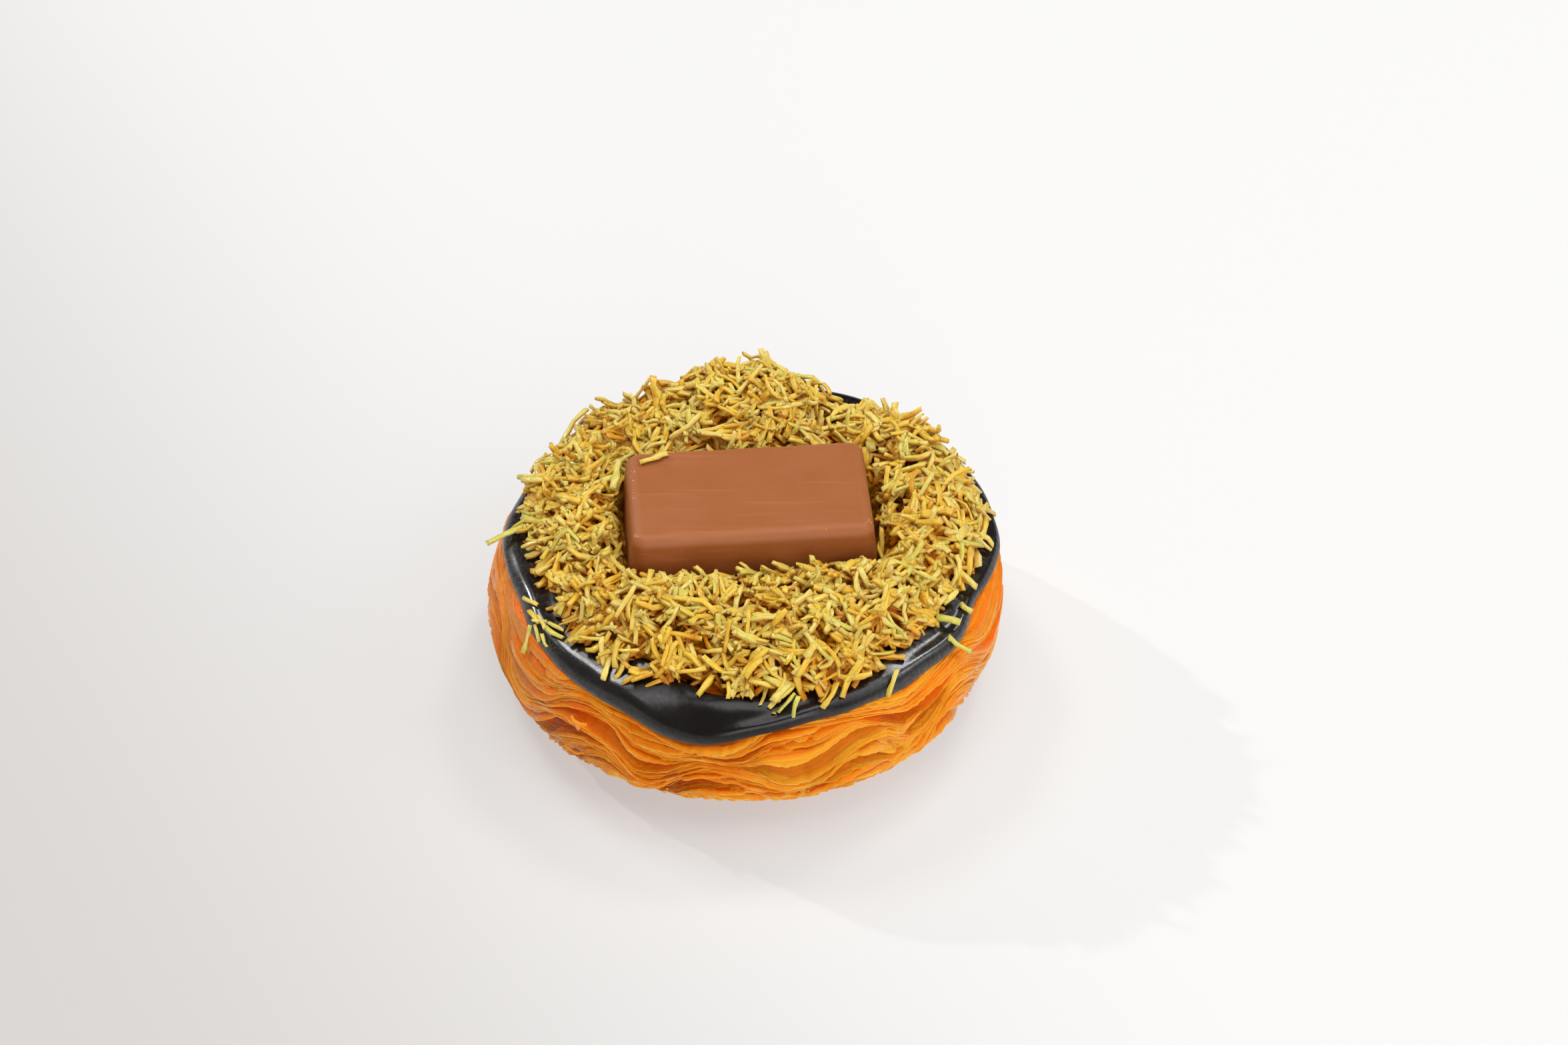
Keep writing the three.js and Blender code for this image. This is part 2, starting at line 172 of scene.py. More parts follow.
class Graph:
    # the node tree of a material or of the world
    def __init__(self, owner):
        self.owner = owner
        owner.use_nodes = True
        self.tree = owner.node_tree
        self.tree.nodes.clear()

    def node(self, kind, inputs, **settings):
        made = self.tree.nodes.new("ShaderNode" + kind)
        for key, value in settings.items():
            setattr(made, key, value)
        for key, value in inputs.items():
            value = value.socket if isinstance(value, Value) else value
            if isinstance(value, bpy.types.NodeSocket):
                self.tree.links.new(value, made.inputs[key])
            else:
                made.inputs[key].default_value = value
        return made

    def value(self, kind, inputs, **settings):
        return Value(self, self.node(kind, inputs, **settings).outputs[0])

    def attribute(self, name):
        return Value(self, self.node("Attribute", {}, attribute_name=name).outputs["Fac"])

    def mix(self, share, first, second):
        return self.node("Mix", {0: share, 6: first, 7: second}, data_type="RGBA").outputs[2]

    def coordinates(self, kind="Object"):
        return self.node("TexCoord", {}).outputs[kind]

    def parts(self, vector):
        return [Value(self, socket) for socket in self.node("SeparateXYZ", {0: vector}).outputs]

    def roundPlace(self, place, height=None, radius=0.05):
        # distance round the tart, distance from its axis, and height
        x, y, z = self.parts(place)
        inputs = {0: y.math("ARCTAN2", x) * radius, 1: (x * x + y * y).math("SQRT"), 2: height or z}
        return self.node("CombineXYZ", inputs).outputs[0]

    def noise(self, place, scale, detail, roughness, squeeze=None, distortion=0.0):
        if squeeze:
            place = self.node("VectorMath", {0: place, 1: squeeze}, operation="MULTIPLY").outputs[0]
        inputs = {"Vector": place, "Scale": scale, "Detail": detail, "Roughness": roughness}
        return self.value("TexNoise", inputs | {"Distortion": distortion})

    def bumped(self, height, distance, strength=1.0):
        inputs = {"Height": height, "Distance": distance, "Strength": strength}
        return self.node("Bump", inputs).outputs[0]

    def finish(self, colour, roughness, specular, relief=None, scatter=(), others=None):
        # scatter: how much light goes in, how far in metres, and how far for red, green and blue
        inputs = {"Base Color": colour, "Roughness": roughness, "Specular IOR Level": specular}
        inputs.update(zip(("Subsurface Weight", "Subsurface Scale", "Subsurface Radius"), scatter))
        if relief:
            inputs["Normal"] = relief
        shader = self.node("BsdfPrincipled", inputs | (others or {}))
        self.node("OutputMaterial", {"Surface": shader.outputs[0]})
        return self.owner


# The bar. The source centres the whole tart on the origin, so the bar's box gives the shift between them.
bar = {
    "length": 47.4,
    "width": 28.0,
    "height": 11.6,
    "draft": 1.1,  # how far its sides lean in
    "footRound": 0.35,
    "corner": 3.6,
    "fillet": 2.4,
    "turnDegrees": 4.8,
    "centre": (1.3, -0.9),
    "cornerSteps": 15,
    "sideSteps": (30, 18),  # along its length and its width
}
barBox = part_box("milk_chocolate_bar")
barMiddle = [500 * (barBox[0][i] + barBox[1][i]) for i in range(2)]
shift = np.array([barMiddle[0] - bar["centre"][0], barMiddle[1] - bar["centre"][1], 0.0])
barSeat = barBox[0][2] * 1000
barLook = {
    "colour": srgb(156, 88, 42),
    "worn": srgb(168, 102, 60),
    "speck": srgb(204, 140, 96),
    "scatter": (0.08, 0.0008, (1.0, 0.4, 0.2)),
}


def barMaterial():
    graph = Graph(bpy.data.materials.new("milkChocolate"))
    place = graph.coordinates()
    edgeWearAndSheen = graph.attribute("edge")
    cloud = graph.noise(place, 70, 3, 0.5)
    fine = graph.noise(place, 2600, 2, 0.5)
    speck = graph.noise(place, 1500, 1, 0.4)
    streaks = graph.noise(place, 900, 2, 0.5, squeeze=(0.05, 1.0, 1.0))
    base = graph.mix(cloud.between(0.3, 0.7) * 0.35, barLook["colour"], barLook["worn"])
    base = graph.mix(streaks.between(0.58, 0.72) * 0.6, base, barLook["worn"])
    # pale specks, and the rounded edges paler: wear together with painted highlight
    base = graph.mix(speck.between(0.77, 0.82) * 0.6 + edgeWearAndSheen * 0.1, base, barLook["speck"])
    rough = 0.4 + cloud * 0.08 + streaks * 0.12 + fine * 0.06 - edgeWearAndSheen * 0.06
    height = cloud * 2.0 + streaks * 0.16 + fine * 0.05 + speck.between(0.7, 0.8) * 0.1
    return graph.finish(base, rough, 0.3, graph.bumped(height, 0.0003, 0.7), barLook["scatter"])


def beadMaterial():
    graph = Graph(bpy.data.materials.new("chocolateBeads"))
    return graph.finish(barLook["speck"], 0.08, 0.8)


def barOutline():
    # points round the foot of the bar with the outward direction at each
    corner = bar["corner"]
    halfX, halfY = bar["length"] / 2 - corner, bar["width"] / 2 - corner
    centres = np.array([(halfX, halfY), (-halfX, halfY), (-halfX, -halfY), (halfX, -halfY)])
    points, normals = [], []
    for k in range(4):
        a = math.pi / 2 * (k + np.linspace(0, 1, bar["cornerSteps"]))
        outward = np.column_stack([np.cos(a), np.sin(a)])
        arc = centres[k] + corner * outward
        following = centres[(k + 1) % 4] + corner * outward[-1]
        straight = np.linspace(arc[-1], following, bar["sideSteps"][k % 2])[1:-1]
        points += [arc, straight]
        normals += [outward, np.tile(outward[-1], (len(straight), 1))]
    return np.concatenate(points), np.concatenate(normals)


def turned(x, y, degrees):
    c, s = math.cos(math.radians(degrees)), math.sin(math.radians(degrees))
    return x * c - y * s, x * s + y * c


def placeBar(points):
    x, y = turned(points[:, 0], points[:, 1], bar["turnDegrees"])
    return np.column_stack([x + bar["centre"][0], y + bar["centre"][1], points[:, 2] + barSeat])


def barDistance(x, y):
    # distance from the bar's foot outline, negative inside
    px, py = turned(x - bar["centre"][0], y - bar["centre"][1], -bar["turnDegrees"])
    px = np.abs(px) - (bar["length"] / 2 - bar["corner"])
    py = np.abs(py) - (bar["width"] / 2 - bar["corner"])
    outside = np.hypot(np.maximum(px, 0), np.maximum(py, 0))
    return outside + np.minimum(np.maximum(px, py), 0) - bar["corner"]


def filletAt(a):
    # how far in from the foot outline and how high the rounded top edge is at an angle
    height, fillet = bar["height"], bar["fillet"]
    inset = bar["draft"] * (height - fillet) / height + fillet * (1 - math.cos(a))
    return inset, height - fillet + fillet * math.sin(a)


def buildBar(material):
    outline, normals = barOutline()
    height = bar["height"]
    # the third value marks the rounded top edge for wear and for a paler painted highlight
    levels = [(bar["footRound"], 0.0, 0.0), (0.0, bar["footRound"], 0.0)]  # inset, height, edge wear
    levels += [(bar["draft"] * z / height, z, 0.0) for z in np.linspace(1.0, height - bar["fillet"], 9)]
    levels += [(*filletAt(a), math.sin(2 * a)) for a in np.linspace(0, math.pi / 2, 12)[1:]]
    points = [np.zeros((1, 3))]
    for inset, z, _ in levels:
        points.append(np.column_stack([outline - normals * inset, np.full(len(outline), z)]))
    topShares = (0.96, 0.9, 0.8, 0.65, 0.45, 0.22)
    points += [points[-1] * (share, share, 1) for share in topShares]
    flat = np.concatenate([*points, [(0, 0, height)]])
    uneven = 0.05 * np.sin(0.45 * flat[:, 0] + 0.7) * np.sin(0.6 * flat[:, 1] + 0.3)
    flat[:, 2] += uneven * (flat[:, 2] > height - 1)
    edge = np.zeros(len(flat))
    edge[1 : 1 + len(levels) * len(outline)] = np.repeat([level[2] for level in levels], len(outline))
    flat = placeBar(flat)
    faces = closedFaces(len(levels) + len(topShares), len(outline))
    buildMesh("chocolateBar", flat, faces, material, {"edge": edge}, "milk_chocolate_bar")


# The pastry: its outline, and thin leaves stacked up its side over a plain core
pastry = {
    "radius": 49.4,  # at its widest level
    "height": 30.0,
    "widestHeight": 14.5,
    "baseRadius": 39.0,
    "shoulderPower": 24.0,
    "sidePower": 2.4,
    "basePower": 2.2,
    "topShift": (1.5, -2.0),  # the top sits off centre, towards the front right
    "profileSteps": 6000,
    "coreSegments": 240,
    "coreDepth": 4.4,  # from the side to the core behind the leaves
}
pastryLook = {
    # the crevice colour is painted shade for the recesses between and inside the leaves
    "creviceShade": srgb(240, 104, 2),
    "leaf": srgb(255, 140, 4),
    "pale": srgb(255, 176, 40),
    # the pale lip colour is painted highlight on the lit lip edges
    "lip": srgb(255, 200, 92),
    "lipBrown": srgb(236, 138, 44),
    "browned": srgb(206, 128, 50),
    "crumb": srgb(254, 200, 90),
    "sheen": srgb(255, 205, 150),
    "scatter": (0.3, 0.0006, (1.0, 0.5, 0.2)),
}


def pastryMaterial():
    graph = Graph(bpy.data.materials.new("bakedLeaves"))
    look = pastryLook
    place = graph.coordinates()
    flowing = graph.roundPlace(place, graph.attribute("flow") * 0.001)
    lip = graph.attribute("lip")
    tone = graph.attribute("tone")
    patches = graph.noise(graph.roundPlace(place), 170, 3, 0.6)
    blotches = graph.noise(place, 420, 3, 0.6)
    grain = graph.noise(flowing, 900, 4, 0.65, squeeze=(0.3, 1, 2.4))
    threads = graph.noise(flowing, 2400, 3, 0.65, squeeze=(0.035, 0.3, 1.7), distortion=0.3)
    # inner parts of each leaf and the pocket walls take the darker crevice colour: painted shade
    base = graph.mix((lip + (blotches - 0.5) * 0.9).between(0.1, 0.9), look["creviceShade"], look["leaf"])
    base = graph.mix(threads.between(0.5, 0.75) * lip * 0.5, base, look["pale"])
    # darker fine lines in the crevice colour: painted shade between finer layers
    base = graph.mix(threads.between(0.5, 0.3) * 0.3, base, look["creviceShade"])
    # lips paler: painted highlight on their lit edges, broken by browned patches
    ends = graph.mix(patches.between(0.35, 0.65), look["lip"], look["lipBrown"])
    base = graph.mix(lip.between(0.9, 1.0) * (grain.between(0.2, 0.6) * 0.6 + 0.35), base, ends)
    brown = tone.between(0.35, 0.95) * (patches.between(0.35, 0.75) * 0.65 + 0.35)
    base = graph.mix(brown * 0.75, base, look["browned"])
    base = graph.mix((0.32 - tone).between(0, 0.3) * (lip * 0.6 + 0.2), base, look["pale"])
    base = graph.mix(graph.attribute("crumb") * grain.between(0.25, 0.7), base, look["crumb"])
    rough = grain * 0.3 + blotches * 0.16 + 0.05
    relief = graph.bumped(grain * 0.8 + patches * 0.6 + threads * 0.8 + blotches * 0.8, 0.00035, 0.85)
    return graph.finish(base, rough, 0.28, relief, look["scatter"], {"Specular Tint": look["sheen"]})


def sideRadius(z):
    # the pastry's radius at a level
    z = np.asarray(z, float)
    radius, widest = pastry["radius"], pastry["widestHeight"]
    low = np.clip((widest - z) / widest, 0, 1)
    high = np.clip((z - widest) / (pastry["height"] - widest), 0, 0.9999)
    below = radius - (radius - pastry["baseRadius"]) * low ** pastry["basePower"]
    above = radius * (1 - high ** pastry["sidePower"]) ** (1 / pastry["shoulderPower"])
    return np.where(z < widest, below, above)


def measuredProfile():
    # the upper profile, as distance over the surface from the centre of its top, radius and height
    steps = pastry["profileSteps"]
    a = (1 - (np.arange(steps + 1) / steps) ** 3) * math.pi / 2
    radius = pastry["radius"] * np.cos(a) ** (2 / pastry["shoulderPower"])
    radius[0] = 0
    rise = pastry["height"] - pastry["widestHeight"]
    height = pastry["widestHeight"] + rise * np.sin(a) ** (2 / pastry["sidePower"])
    length = np.concatenate([[0], np.cumsum(np.hypot(np.diff(radius), np.diff(height)))])
    return length, radius, height


profileLength, profileRadius, profileHeight = measuredProfile()


def upperAt(distance):
    return [np.interp(distance, profileLength, values) for values in (profileRadius, profileHeight)]


def upperNormal(distance, step=0.6):
    r0, z0 = upperAt(distance - step)
    r1, z1 = upperAt(distance + step)
    long = np.hypot(r1 - r0, z1 - z0)
    return -(z1 - z0) / long, (r1 - r0) / long


def leanOut(points):
    # moves the upper part to where the top sits
    share = smoothstep(points[..., 2], pastry["widestHeight"] - 4, pastry["height"] - 2)
    moved = points.copy()
    moved[..., 0] += pastry["topShift"][0] * share
    moved[..., 1] += pastry["topShift"][1] * share
    return moved


def fromTop(x, y):
    # direction and distance from the middle of the top
    return polar(x - pastry["topShift"][0], y - pastry["topShift"][1])


leaves = {
    "count": 46,
    "segments": 660,
    "thickness": 0.12,
    "top": 29.4,  # they fill the side up to here
    "spacing": 0.64,  # about how far apart two leaves lie
    "flowStep": 0.65,  # how far the surface pattern moves on from leaf to leaf
    # how far bundles climb and sink at half height: direction, millimetres
    "sway": [
        (-160, -1.4), (-136, -2.4), (-121, -0.6), (-107, 1.6), (-92, 3.2), (-75, 0.8), (-60, -2.2),
        (-48, -1.8), (-30, 1.0), (-12, 1.2), (14, -0.9), (38, 0.8), (71, -1.0), (100, 0.5), (142, -0.9),
        (170, 0.7),
    ],
    "depth": 5.2,  # how far in from the side a leaf is drawn
    "contrast": 1.1,  # how unevenly the leaves part
    "swelling": 0.65,
    "smallPockets": 120,
    "chips": 9,  # broken out of each lip
    "seed": 5,
    # a leaf from its root to its lip: shares of its width in from the lip, of its climb and of its hang,
    # then how much it counts as lip, which also sets its colour from painted crevice shade inside to
    # painted highlight at the lip
    "section": [
        (None, 1.0, 0.0, 0.0), (1.0, 0.94, 0.0, 0.1), (0.55, 0.42, 0.0, 0.45), (0.2, 0.08, 0.3, 0.8),
        (0.0, 0.0, 1.0, 1.0),
    ],
    "pieces": ("footLeaves", "lowerLeaves", "middleLeaves", "upperLeaves"),
}
# where bundles of leaves swell or are pressed together: direction, height, half widths, strength
swells = [
    (-93, 13, 13, 8, 0.9), (-66, 8, 11, 6, -0.9), (-67, 23, 12, 5, 1.0), (-41, 20, 10, 5, -0.7),
    (-31, 10, 13, 6, 0.6), (-118, 8, 11, 6, -0.7), (-140, 10, 16, 6, -0.3), (-127, 25, 12, 4, -0.5),
    (-165, 21, 16, 7, -0.2), (-6, 20, 13, 6, -0.3), (15, 9, 14, 6, 0.3), (45, 22, 15, 5, 0.6),
    (80, 10, 14, 6, 0.7), (112, 21, 14, 6, 0.6), (145, 9, 14, 6, 0.7),
]
# pockets where leaves part, the first twelve seen in the photo: direction, height, half width, opening
pockets = [
    (-74, 20.5, 17, 4.6), (-64, 14.0, 12, 2.4), (-101, 15.6, 13, 3.4), (-121, 18.6, 17, 2.4),
    (-134, 14.0, 15, 2.2), (-92, 24.6, 12, 1.4), (-52, 22.0, 14, 1.9), (-46, 17.0, 7, 3.0),
    (-34, 12.0, 10, 1.0), (-170, 18.0, 14, 1.4), (-155, 12.0, 18, 1.6), (-146, 24.0, 13, 1.2),
    (176, 12.5, 12, 2.2), (30, 18.5, 16, 2.6), (62, 13.0, 18, 2.6), (96, 19.0, 14, 2.4),
    (128, 15.0, 18, 2.8), (150, 21.0, 12, 1.8),
]


def sway(angle, level):
    # bundles of leaves climb and sink along the side, least at the foot and at the top
    places, rises = zip(*leaves["sway"])
    nearby = [np.interp(np.degrees(angle) + step, places, rises, period=360) for step in (-7, -3, 3, 7)]
    line = np.mean(nearby, axis=0) + 0.24 * waves(39, 3, 13, 9, 0.3)(angle, level * 0.16)
    return line * np.sin(math.pi * np.clip(level / leaves["top"], 0, 1))


def rowAt(direction, height):
    # the leaf that passes at a height in a direction
    level = np.linspace(0, leaves["top"], leaves["count"])
    return int(np.argmin(np.abs(level + sway(math.radians(direction), level) - height)))


def leafGaps(angles):
    # the opening over each leaf in every direction, and how much of it stands open
    rng = np.random.RandomState(leaves["seed"])
    count = leaves["count"]
    rows = np.arange(count)[:, None]
    spread = 0.75 * waves(21, 3, 11, 18, 0.3)(angles, rows * 0.3)
    spread = spread + 0.32 * waves(22, 6, 16, 18, 0.2)(angles, rows * 1.9) + rng.normal(0, 0.4, (count, 1))
    for direction, height, halfWidth, halfHeight, strength in swells:
        away = degreesFrom(angles, direction) / halfWidth
        up = (rows - rowAt(direction, height)) * leaves["spacing"] / halfHeight
        spread = spread + leaves["swelling"] * strength * np.exp(-(away**2) - up**2)
    # most uneven at the front, where the photo shows it
    contrast = leaves["contrast"] * (0.55 + 0.45 * bump(angles, -90, 75))
    gaps = np.minimum(0.2 * np.exp(contrast * spread), 1.8)
    stands = np.zeros_like(gaps)
    parted = [(rowAt(*place[:2]), place[0], *place[2:]) for place in pockets]
    for _ in range(leaves["smallPockets"]):
        size = 0.3 + 0.8 * rng.rand() ** 2
        parted.append((rng.randint(1, count - 1), rng.uniform(-180, 180), rng.uniform(7, 17), size))
    for row, direction, halfWidth, size in parted:
        share = np.clip(1 - (degreesFrom(angles, direction) / halfWidth) ** 2, 0, 1)
        gaps[row] += size * share**1.3
        stands[row] = np.maximum(stands[row], share**0.5 * min(1.0, size / 1.6))
    return gaps, stands


def crumbBands(angles, level):
    # the crumbly edge low on the side, strongest at the front, and the foot
    edge = np.exp(-(((level - 7.6) / 1.5) ** 2)) * (0.35 + 0.65 * bump(angles, -80, 55))
    return edge, np.exp(-(((level - 0.5) / 1.5) ** 2)), waves(33, 25, 160, 60, 0.1)


def leafInset(angles, level, opening, below, stands, standsBelow):
    # how far each lip stands back from the side
    rng = np.random.RandomState(leaves["seed"] + 1)
    count, segments = level.shape
    rows = np.arange(count)[:, None]
    bundles = waves(37, 2, 7, 10, 0.4)(angles, level * 0.55)
    slow = waves(31, 3, 14, 16, 0.5)(angles, rows * 1.4)
    ragged = waves(32, 30, 230, 90, 0.1)(angles, rows * 2.3)
    # leaves that are pressed together end flush, and loose ones stand out, tear and recede
    loose = smoothstep(opening + below, 0.35, 1.8)
    torn = smoothstep(waves(38, 8, 40, 30, 0.2)(angles, rows * 2.7), 0.8, 1.25)
    calm = 1 - bumps(angles, [(-160, 42, 0.7), (-8, 38, 0.85)])
    inset = 0.8 + 0.3 * bundles + (0.1 + 0.45 * loose * calm) * slow + (0.03 + 0.05 * loose) * calm * ragged
    inset += (rng.uniform(-0.08, 0.08, (count, 1)) + torn * (0.1 + 0.55 * loose)) * calm
    inset += 0.5 * smoothstep(below, 0.8, 2.6) * standsBelow - 0.5 * smoothstep(opening, 0.8, 2.4) * stands
    for row in np.repeat(np.arange(count), leaves["chips"]):
        place, span = rng.randint(0, segments), rng.randint(2, 9)
        inset[row, np.arange(place, place + span) % segments] += rng.uniform(0.1, 0.4)
    edge, foot, crumbly = crumbBands(angles, level)
    inset += -0.35 * edge + 0.2 * (edge + foot) * crumbly(angles, rows * 2.0)
    return np.clip(inset, -0.45, 2.8)


def buildLeaves(material):
    count, segments, thickness = leaves["count"], leaves["segments"], leaves["thickness"]
    angles = directions(segments)
    rows = np.arange(count)[:, None]
    gaps, stands = leafGaps(angles)
    opening = gaps * (leaves["top"] - count * thickness) / gaps.sum(axis=0)
    level = np.cumsum(opening + thickness, axis=0) - opening - thickness + 0.05  # underside near the lip
    level = level + sway(angles, level)
    opening[:-1] = np.maximum(level[1:] - level[:-1] - thickness, 0.02)
    below, standsBelow = (np.vstack([np.zeros((1, segments)), part[:-1]]) for part in (opening, stands))

    # a leaf's lip hangs over the opening under it, less so over a pocket
    hang = 0.62 + 0.28 * waves(34, 4, 18, 14, 0.4)(angles, rows * 1.3)
    hang = np.clip(hang + bumps(angles, [(-6, 32, 0.4), (-150, 24, 0.4)]), 0.2, 0.97)
    drop = np.minimum(below * hang * (1 - 0.75 * standsBelow), 2.2)
    # and its inner part climbs to close the opening over it from behind
    rise = opening * np.clip(0.72 + 0.12 * waves(36, 2, 10, 10, 0.4)(angles, rows * 0.7), 0.45, 0.86)
    # leaves are pressed together where the photo sees the side edge-on
    press = 1 - bumps(angles, [(-4, 32, 0.8), (-152, 22, 0.6)])
    wide = np.clip((0.28 + (0.5 + 0.9 * stands) * rise + 0.3 * drop) * press, 0.12, 4.0)
    edge = sideRadius(np.clip(level - 0.5 * drop, 0, leaves["top"] - 0.1)) + 0.75
    edge = edge - leafInset(angles, level, opening, below, stands, standsBelow)

    rings = []
    for lower, section in ((False, leaves["section"]), (True, leaves["section"][::-2])):
        for inward, climbShare, hangShare, lip in section:
            radius = edge - (leaves["depth"] if inward is None else inward * wide)
            z = level + rise * climbShare - drop * hangShare
            if lower:
                rings.append((radius, np.maximum(z, 0.0), lip))
            else:
                rings.append((radius + 0.03 * (lip == 1), np.maximum(z + thickness, 0.05), lip))

    tones = 0.45 + 0.2 * waves(35, 1, 6, 8, 0.6)(angles, rows * 0.5)
    tones = tones + bumps(angles, [(192, 36, 0.28), (0, 50, -0.42)])
    crumbEdge, foot, crumbly = crumbBands(angles, level)
    crumbs = np.clip(crumbEdge + 0.6 * foot, 0, 1) * np.clip(0.75 + 0.4 * crumbly(angles, rows), 0, 1)
    groups = np.array_split(np.arange(count), len(leaves["pieces"]))
    for name, group in zip(leaves["pieces"], groups):
        points, faces = [], []
        values = {"lip": [], "tone": [], "crumb": [], "flow": []}
        for row in group:
            faces += gridFaces(len(rings), segments, True, len(points) * segments, flip=True)
            for radius, z, lip in rings:
                points.append(ringPoints(radius[row], angles, z[row]))
                # lip is lowered on pocket walls, so they take the painted crevice shade
                values["lip"].append(lip * (1 - 0.9 * stands[row] * (lip < 0.95)))
                values["tone"].append(tones[row])
                values["crumb"].append(crumbs[row] * (0.3 + 0.7 * lip))
                values["flow"].append(row * leaves["flowStep"] + 1.2 * (1 - lip) * opening[row])
        values = {key: np.concatenate(parts) for key, parts in values.items()}
        flat = leanOut(np.concatenate(points))
        mesh = buildMesh(name, flat, faces, material, values, "flaky_pastry")
        # the upper and lower rim of each lip, rings 4 and 5, stay crisp
        ends = np.zeros(len(mesh.edges) * 2, int)
        mesh.edges.foreach_get("vertices", ends)
        ring = (ends.reshape(-1, 2) // segments) % len(rings)
        crisp = (ring[:, 0] == ring[:, 1]) & ((ring[:, 0] == 4) | (ring[:, 0] == 5))
        mesh.attributes.new("sharp_edge", "BOOLEAN", "EDGE").data.foreach_set("value", crisp)


def buildPastryCore(material):
    # closes the side from behind, with the floor inside the glaze
    angles = directions(pastry["coreSegments"])
    uneven = waves(41, 3, 24, 20, 0.5)
    points = [np.zeros((1, 3)), ringPoints(sideRadius(0) - 1.0, angles, 0.0)]
    for z in np.linspace(0.0, 29.2, 30)[1:]:
        radius = sideRadius(min(z, 28.6)) - pastry["coreDepth"] + 0.4 * uneven(angles, z * 0.8)
        points.append(ringPoints(radius, angles, z))
    for step, distance in enumerate([41.0, *np.linspace(40.4, 31.6, 23), 25.0, 12.0]):
        radius, z = upperAt(distance)
        ridge = 0.16 * (-1) ** step * (distance > 31)
        points.append(ringPoints(radius, angles, z - 0.35 + 0.15 * uneven(angles, distance) + ridge))
    flat = leanOut(np.concatenate([*points, [(0, 0, 29.6)]]))
    faces = closedFaces(len(points) - 1, len(angles))
    # the core's sides take mostly the painted crevice shade
    lip = np.where(flat[:, 2] > 29.0, 0.5, 0.12)
    values = {"lip": lip, "tone": 0.45, "crumb": 0.0, "flow": flat[:, 2]}
    buildMesh("pastryCore", flat, faces, material, values, "flaky_pastry")


# The glaze: a thick band over the pastry's top edge that runs down over the front.
# Its edges are given as distance over the pastry from the middle of its top, with bumps on them.
glaze = {
    "thickness": 2.3,
    "gap": 0.3,  # between its underside and the pastry
    "turnDown": 45.2,  # where its top starts to fall away
    "segments": 600,
    "outer": 47,
    "outerBumps": [(-102, 15, 3.9), (-128, 11, 1.2), (-17, 12, -1.4), (-161, 12, -0.6), (150, 25, -0.7)],
    "inner": 38.4,
    "innerBumps": [(-165, 55, -2.8), (0, 50, 2.2), (-93, 17, 4.4)],
    "slopeBumps": [(-134, 28, 1.0), (-52, 26, 0.8)],  # where its top slopes outwards
    "pimplyBumps": [(-165, 22, 1.0)],
    "wrinkledBumps": [(-38, 13, 1.0), (20, 40, 0.5)],
    "shineBumps": [(-136, 26, 1.0), (-168, 16, 1.0), (-50, 24, 1.0), (-22, 16, 0.6)],
    "colour": srgb(18, 13, 11),
    "scuffedSheen": srgb(48, 44, 42),
}


def glazeMaterial():
    graph = Graph(bpy.data.materials.new("darkGlaze"))
    place = graph.coordinates()
    wrapped = graph.roundPlace(place)
    broad = graph.noise(place, 90, 3, 0.5)
    fine = graph.noise(place, 1300, 3, 0.6)
    outside = graph.attribute("outside")
    # grey streaks on the outer face and on the top at the right: painted sheen of grazing light, with
    # scuffs
    scuffAndSheen = outside * graph.noise(wrapped, 1400, 3, 0.7, squeeze=(0.12, 3.0, 3.0)).between(0.35, 0.75)
    pimples = graph.attribute("pimply") * graph.noise(place, 1500, 1, 0.4).between(0.5, 0.7)
    folds = graph.noise(wrapped, 800, 2, 0.5, squeeze=(1.0, 0.25, 0.25), distortion=0.4)
    wrinkles = graph.attribute("wrinkled") * folds
    base = graph.mix(scuffAndSheen * 0.8, glaze["colour"], glaze["scuffedSheen"])
    rough = 0.14 + broad.between(0.35, 0.7) * 0.12 + fine * 0.1 + outside * 0.22
    height = broad * 1.2 + fine * 0.05 + scuffAndSheen * 0.2 + pimples * 0.5 + wrinkles * 1.6
    shine = graph.attribute("shine") * (0.7 + fine.between(0.3, 0.7) * 0.5)
    coat = {"Coat Weight": shine, "Coat Roughness": 0.23, "Coat IOR": 1.6}
    return graph.finish(base, rough, 0.18, graph.bumped(height, 0.0006, 0.7), others=coat)


def glazeOuter(angle):
    small = 0.22 * waves(51, 5, 26, 16, 0.4)(angle)
    edge = glaze["outer"] + bumps(angle, glaze["outerBumps"])
    return edge + 0.25 * np.sin(3 * angle + 0.6) + 0.2 * np.sin(8 * angle + 2.1) + small


def glazeInner(angle):
    small = 0.3 * waves(52, 6, 30, 16, 0.4)(angle)
    edge = glaze["inner"] + bumps(angle, glaze["innerBumps"])
    return edge + 0.5 * np.sin(4 * angle + 1.2) + 0.35 * np.sin(9 * angle) + small


def glazeTop(x, y):
    # height of the glaze's upper face, or of the pastry inside it
    angle, radius = fromTop(x, y)
    onGlaze = smoothstep(radius - glazeInner(angle), -0.2, 0.5)
    flat = pastry["height"] - 0.2 + (glaze["thickness"] + 0.1) * onGlaze
    return flat - 0.5 * np.maximum(radius - glaze["turnDown"], 0) ** 1.6


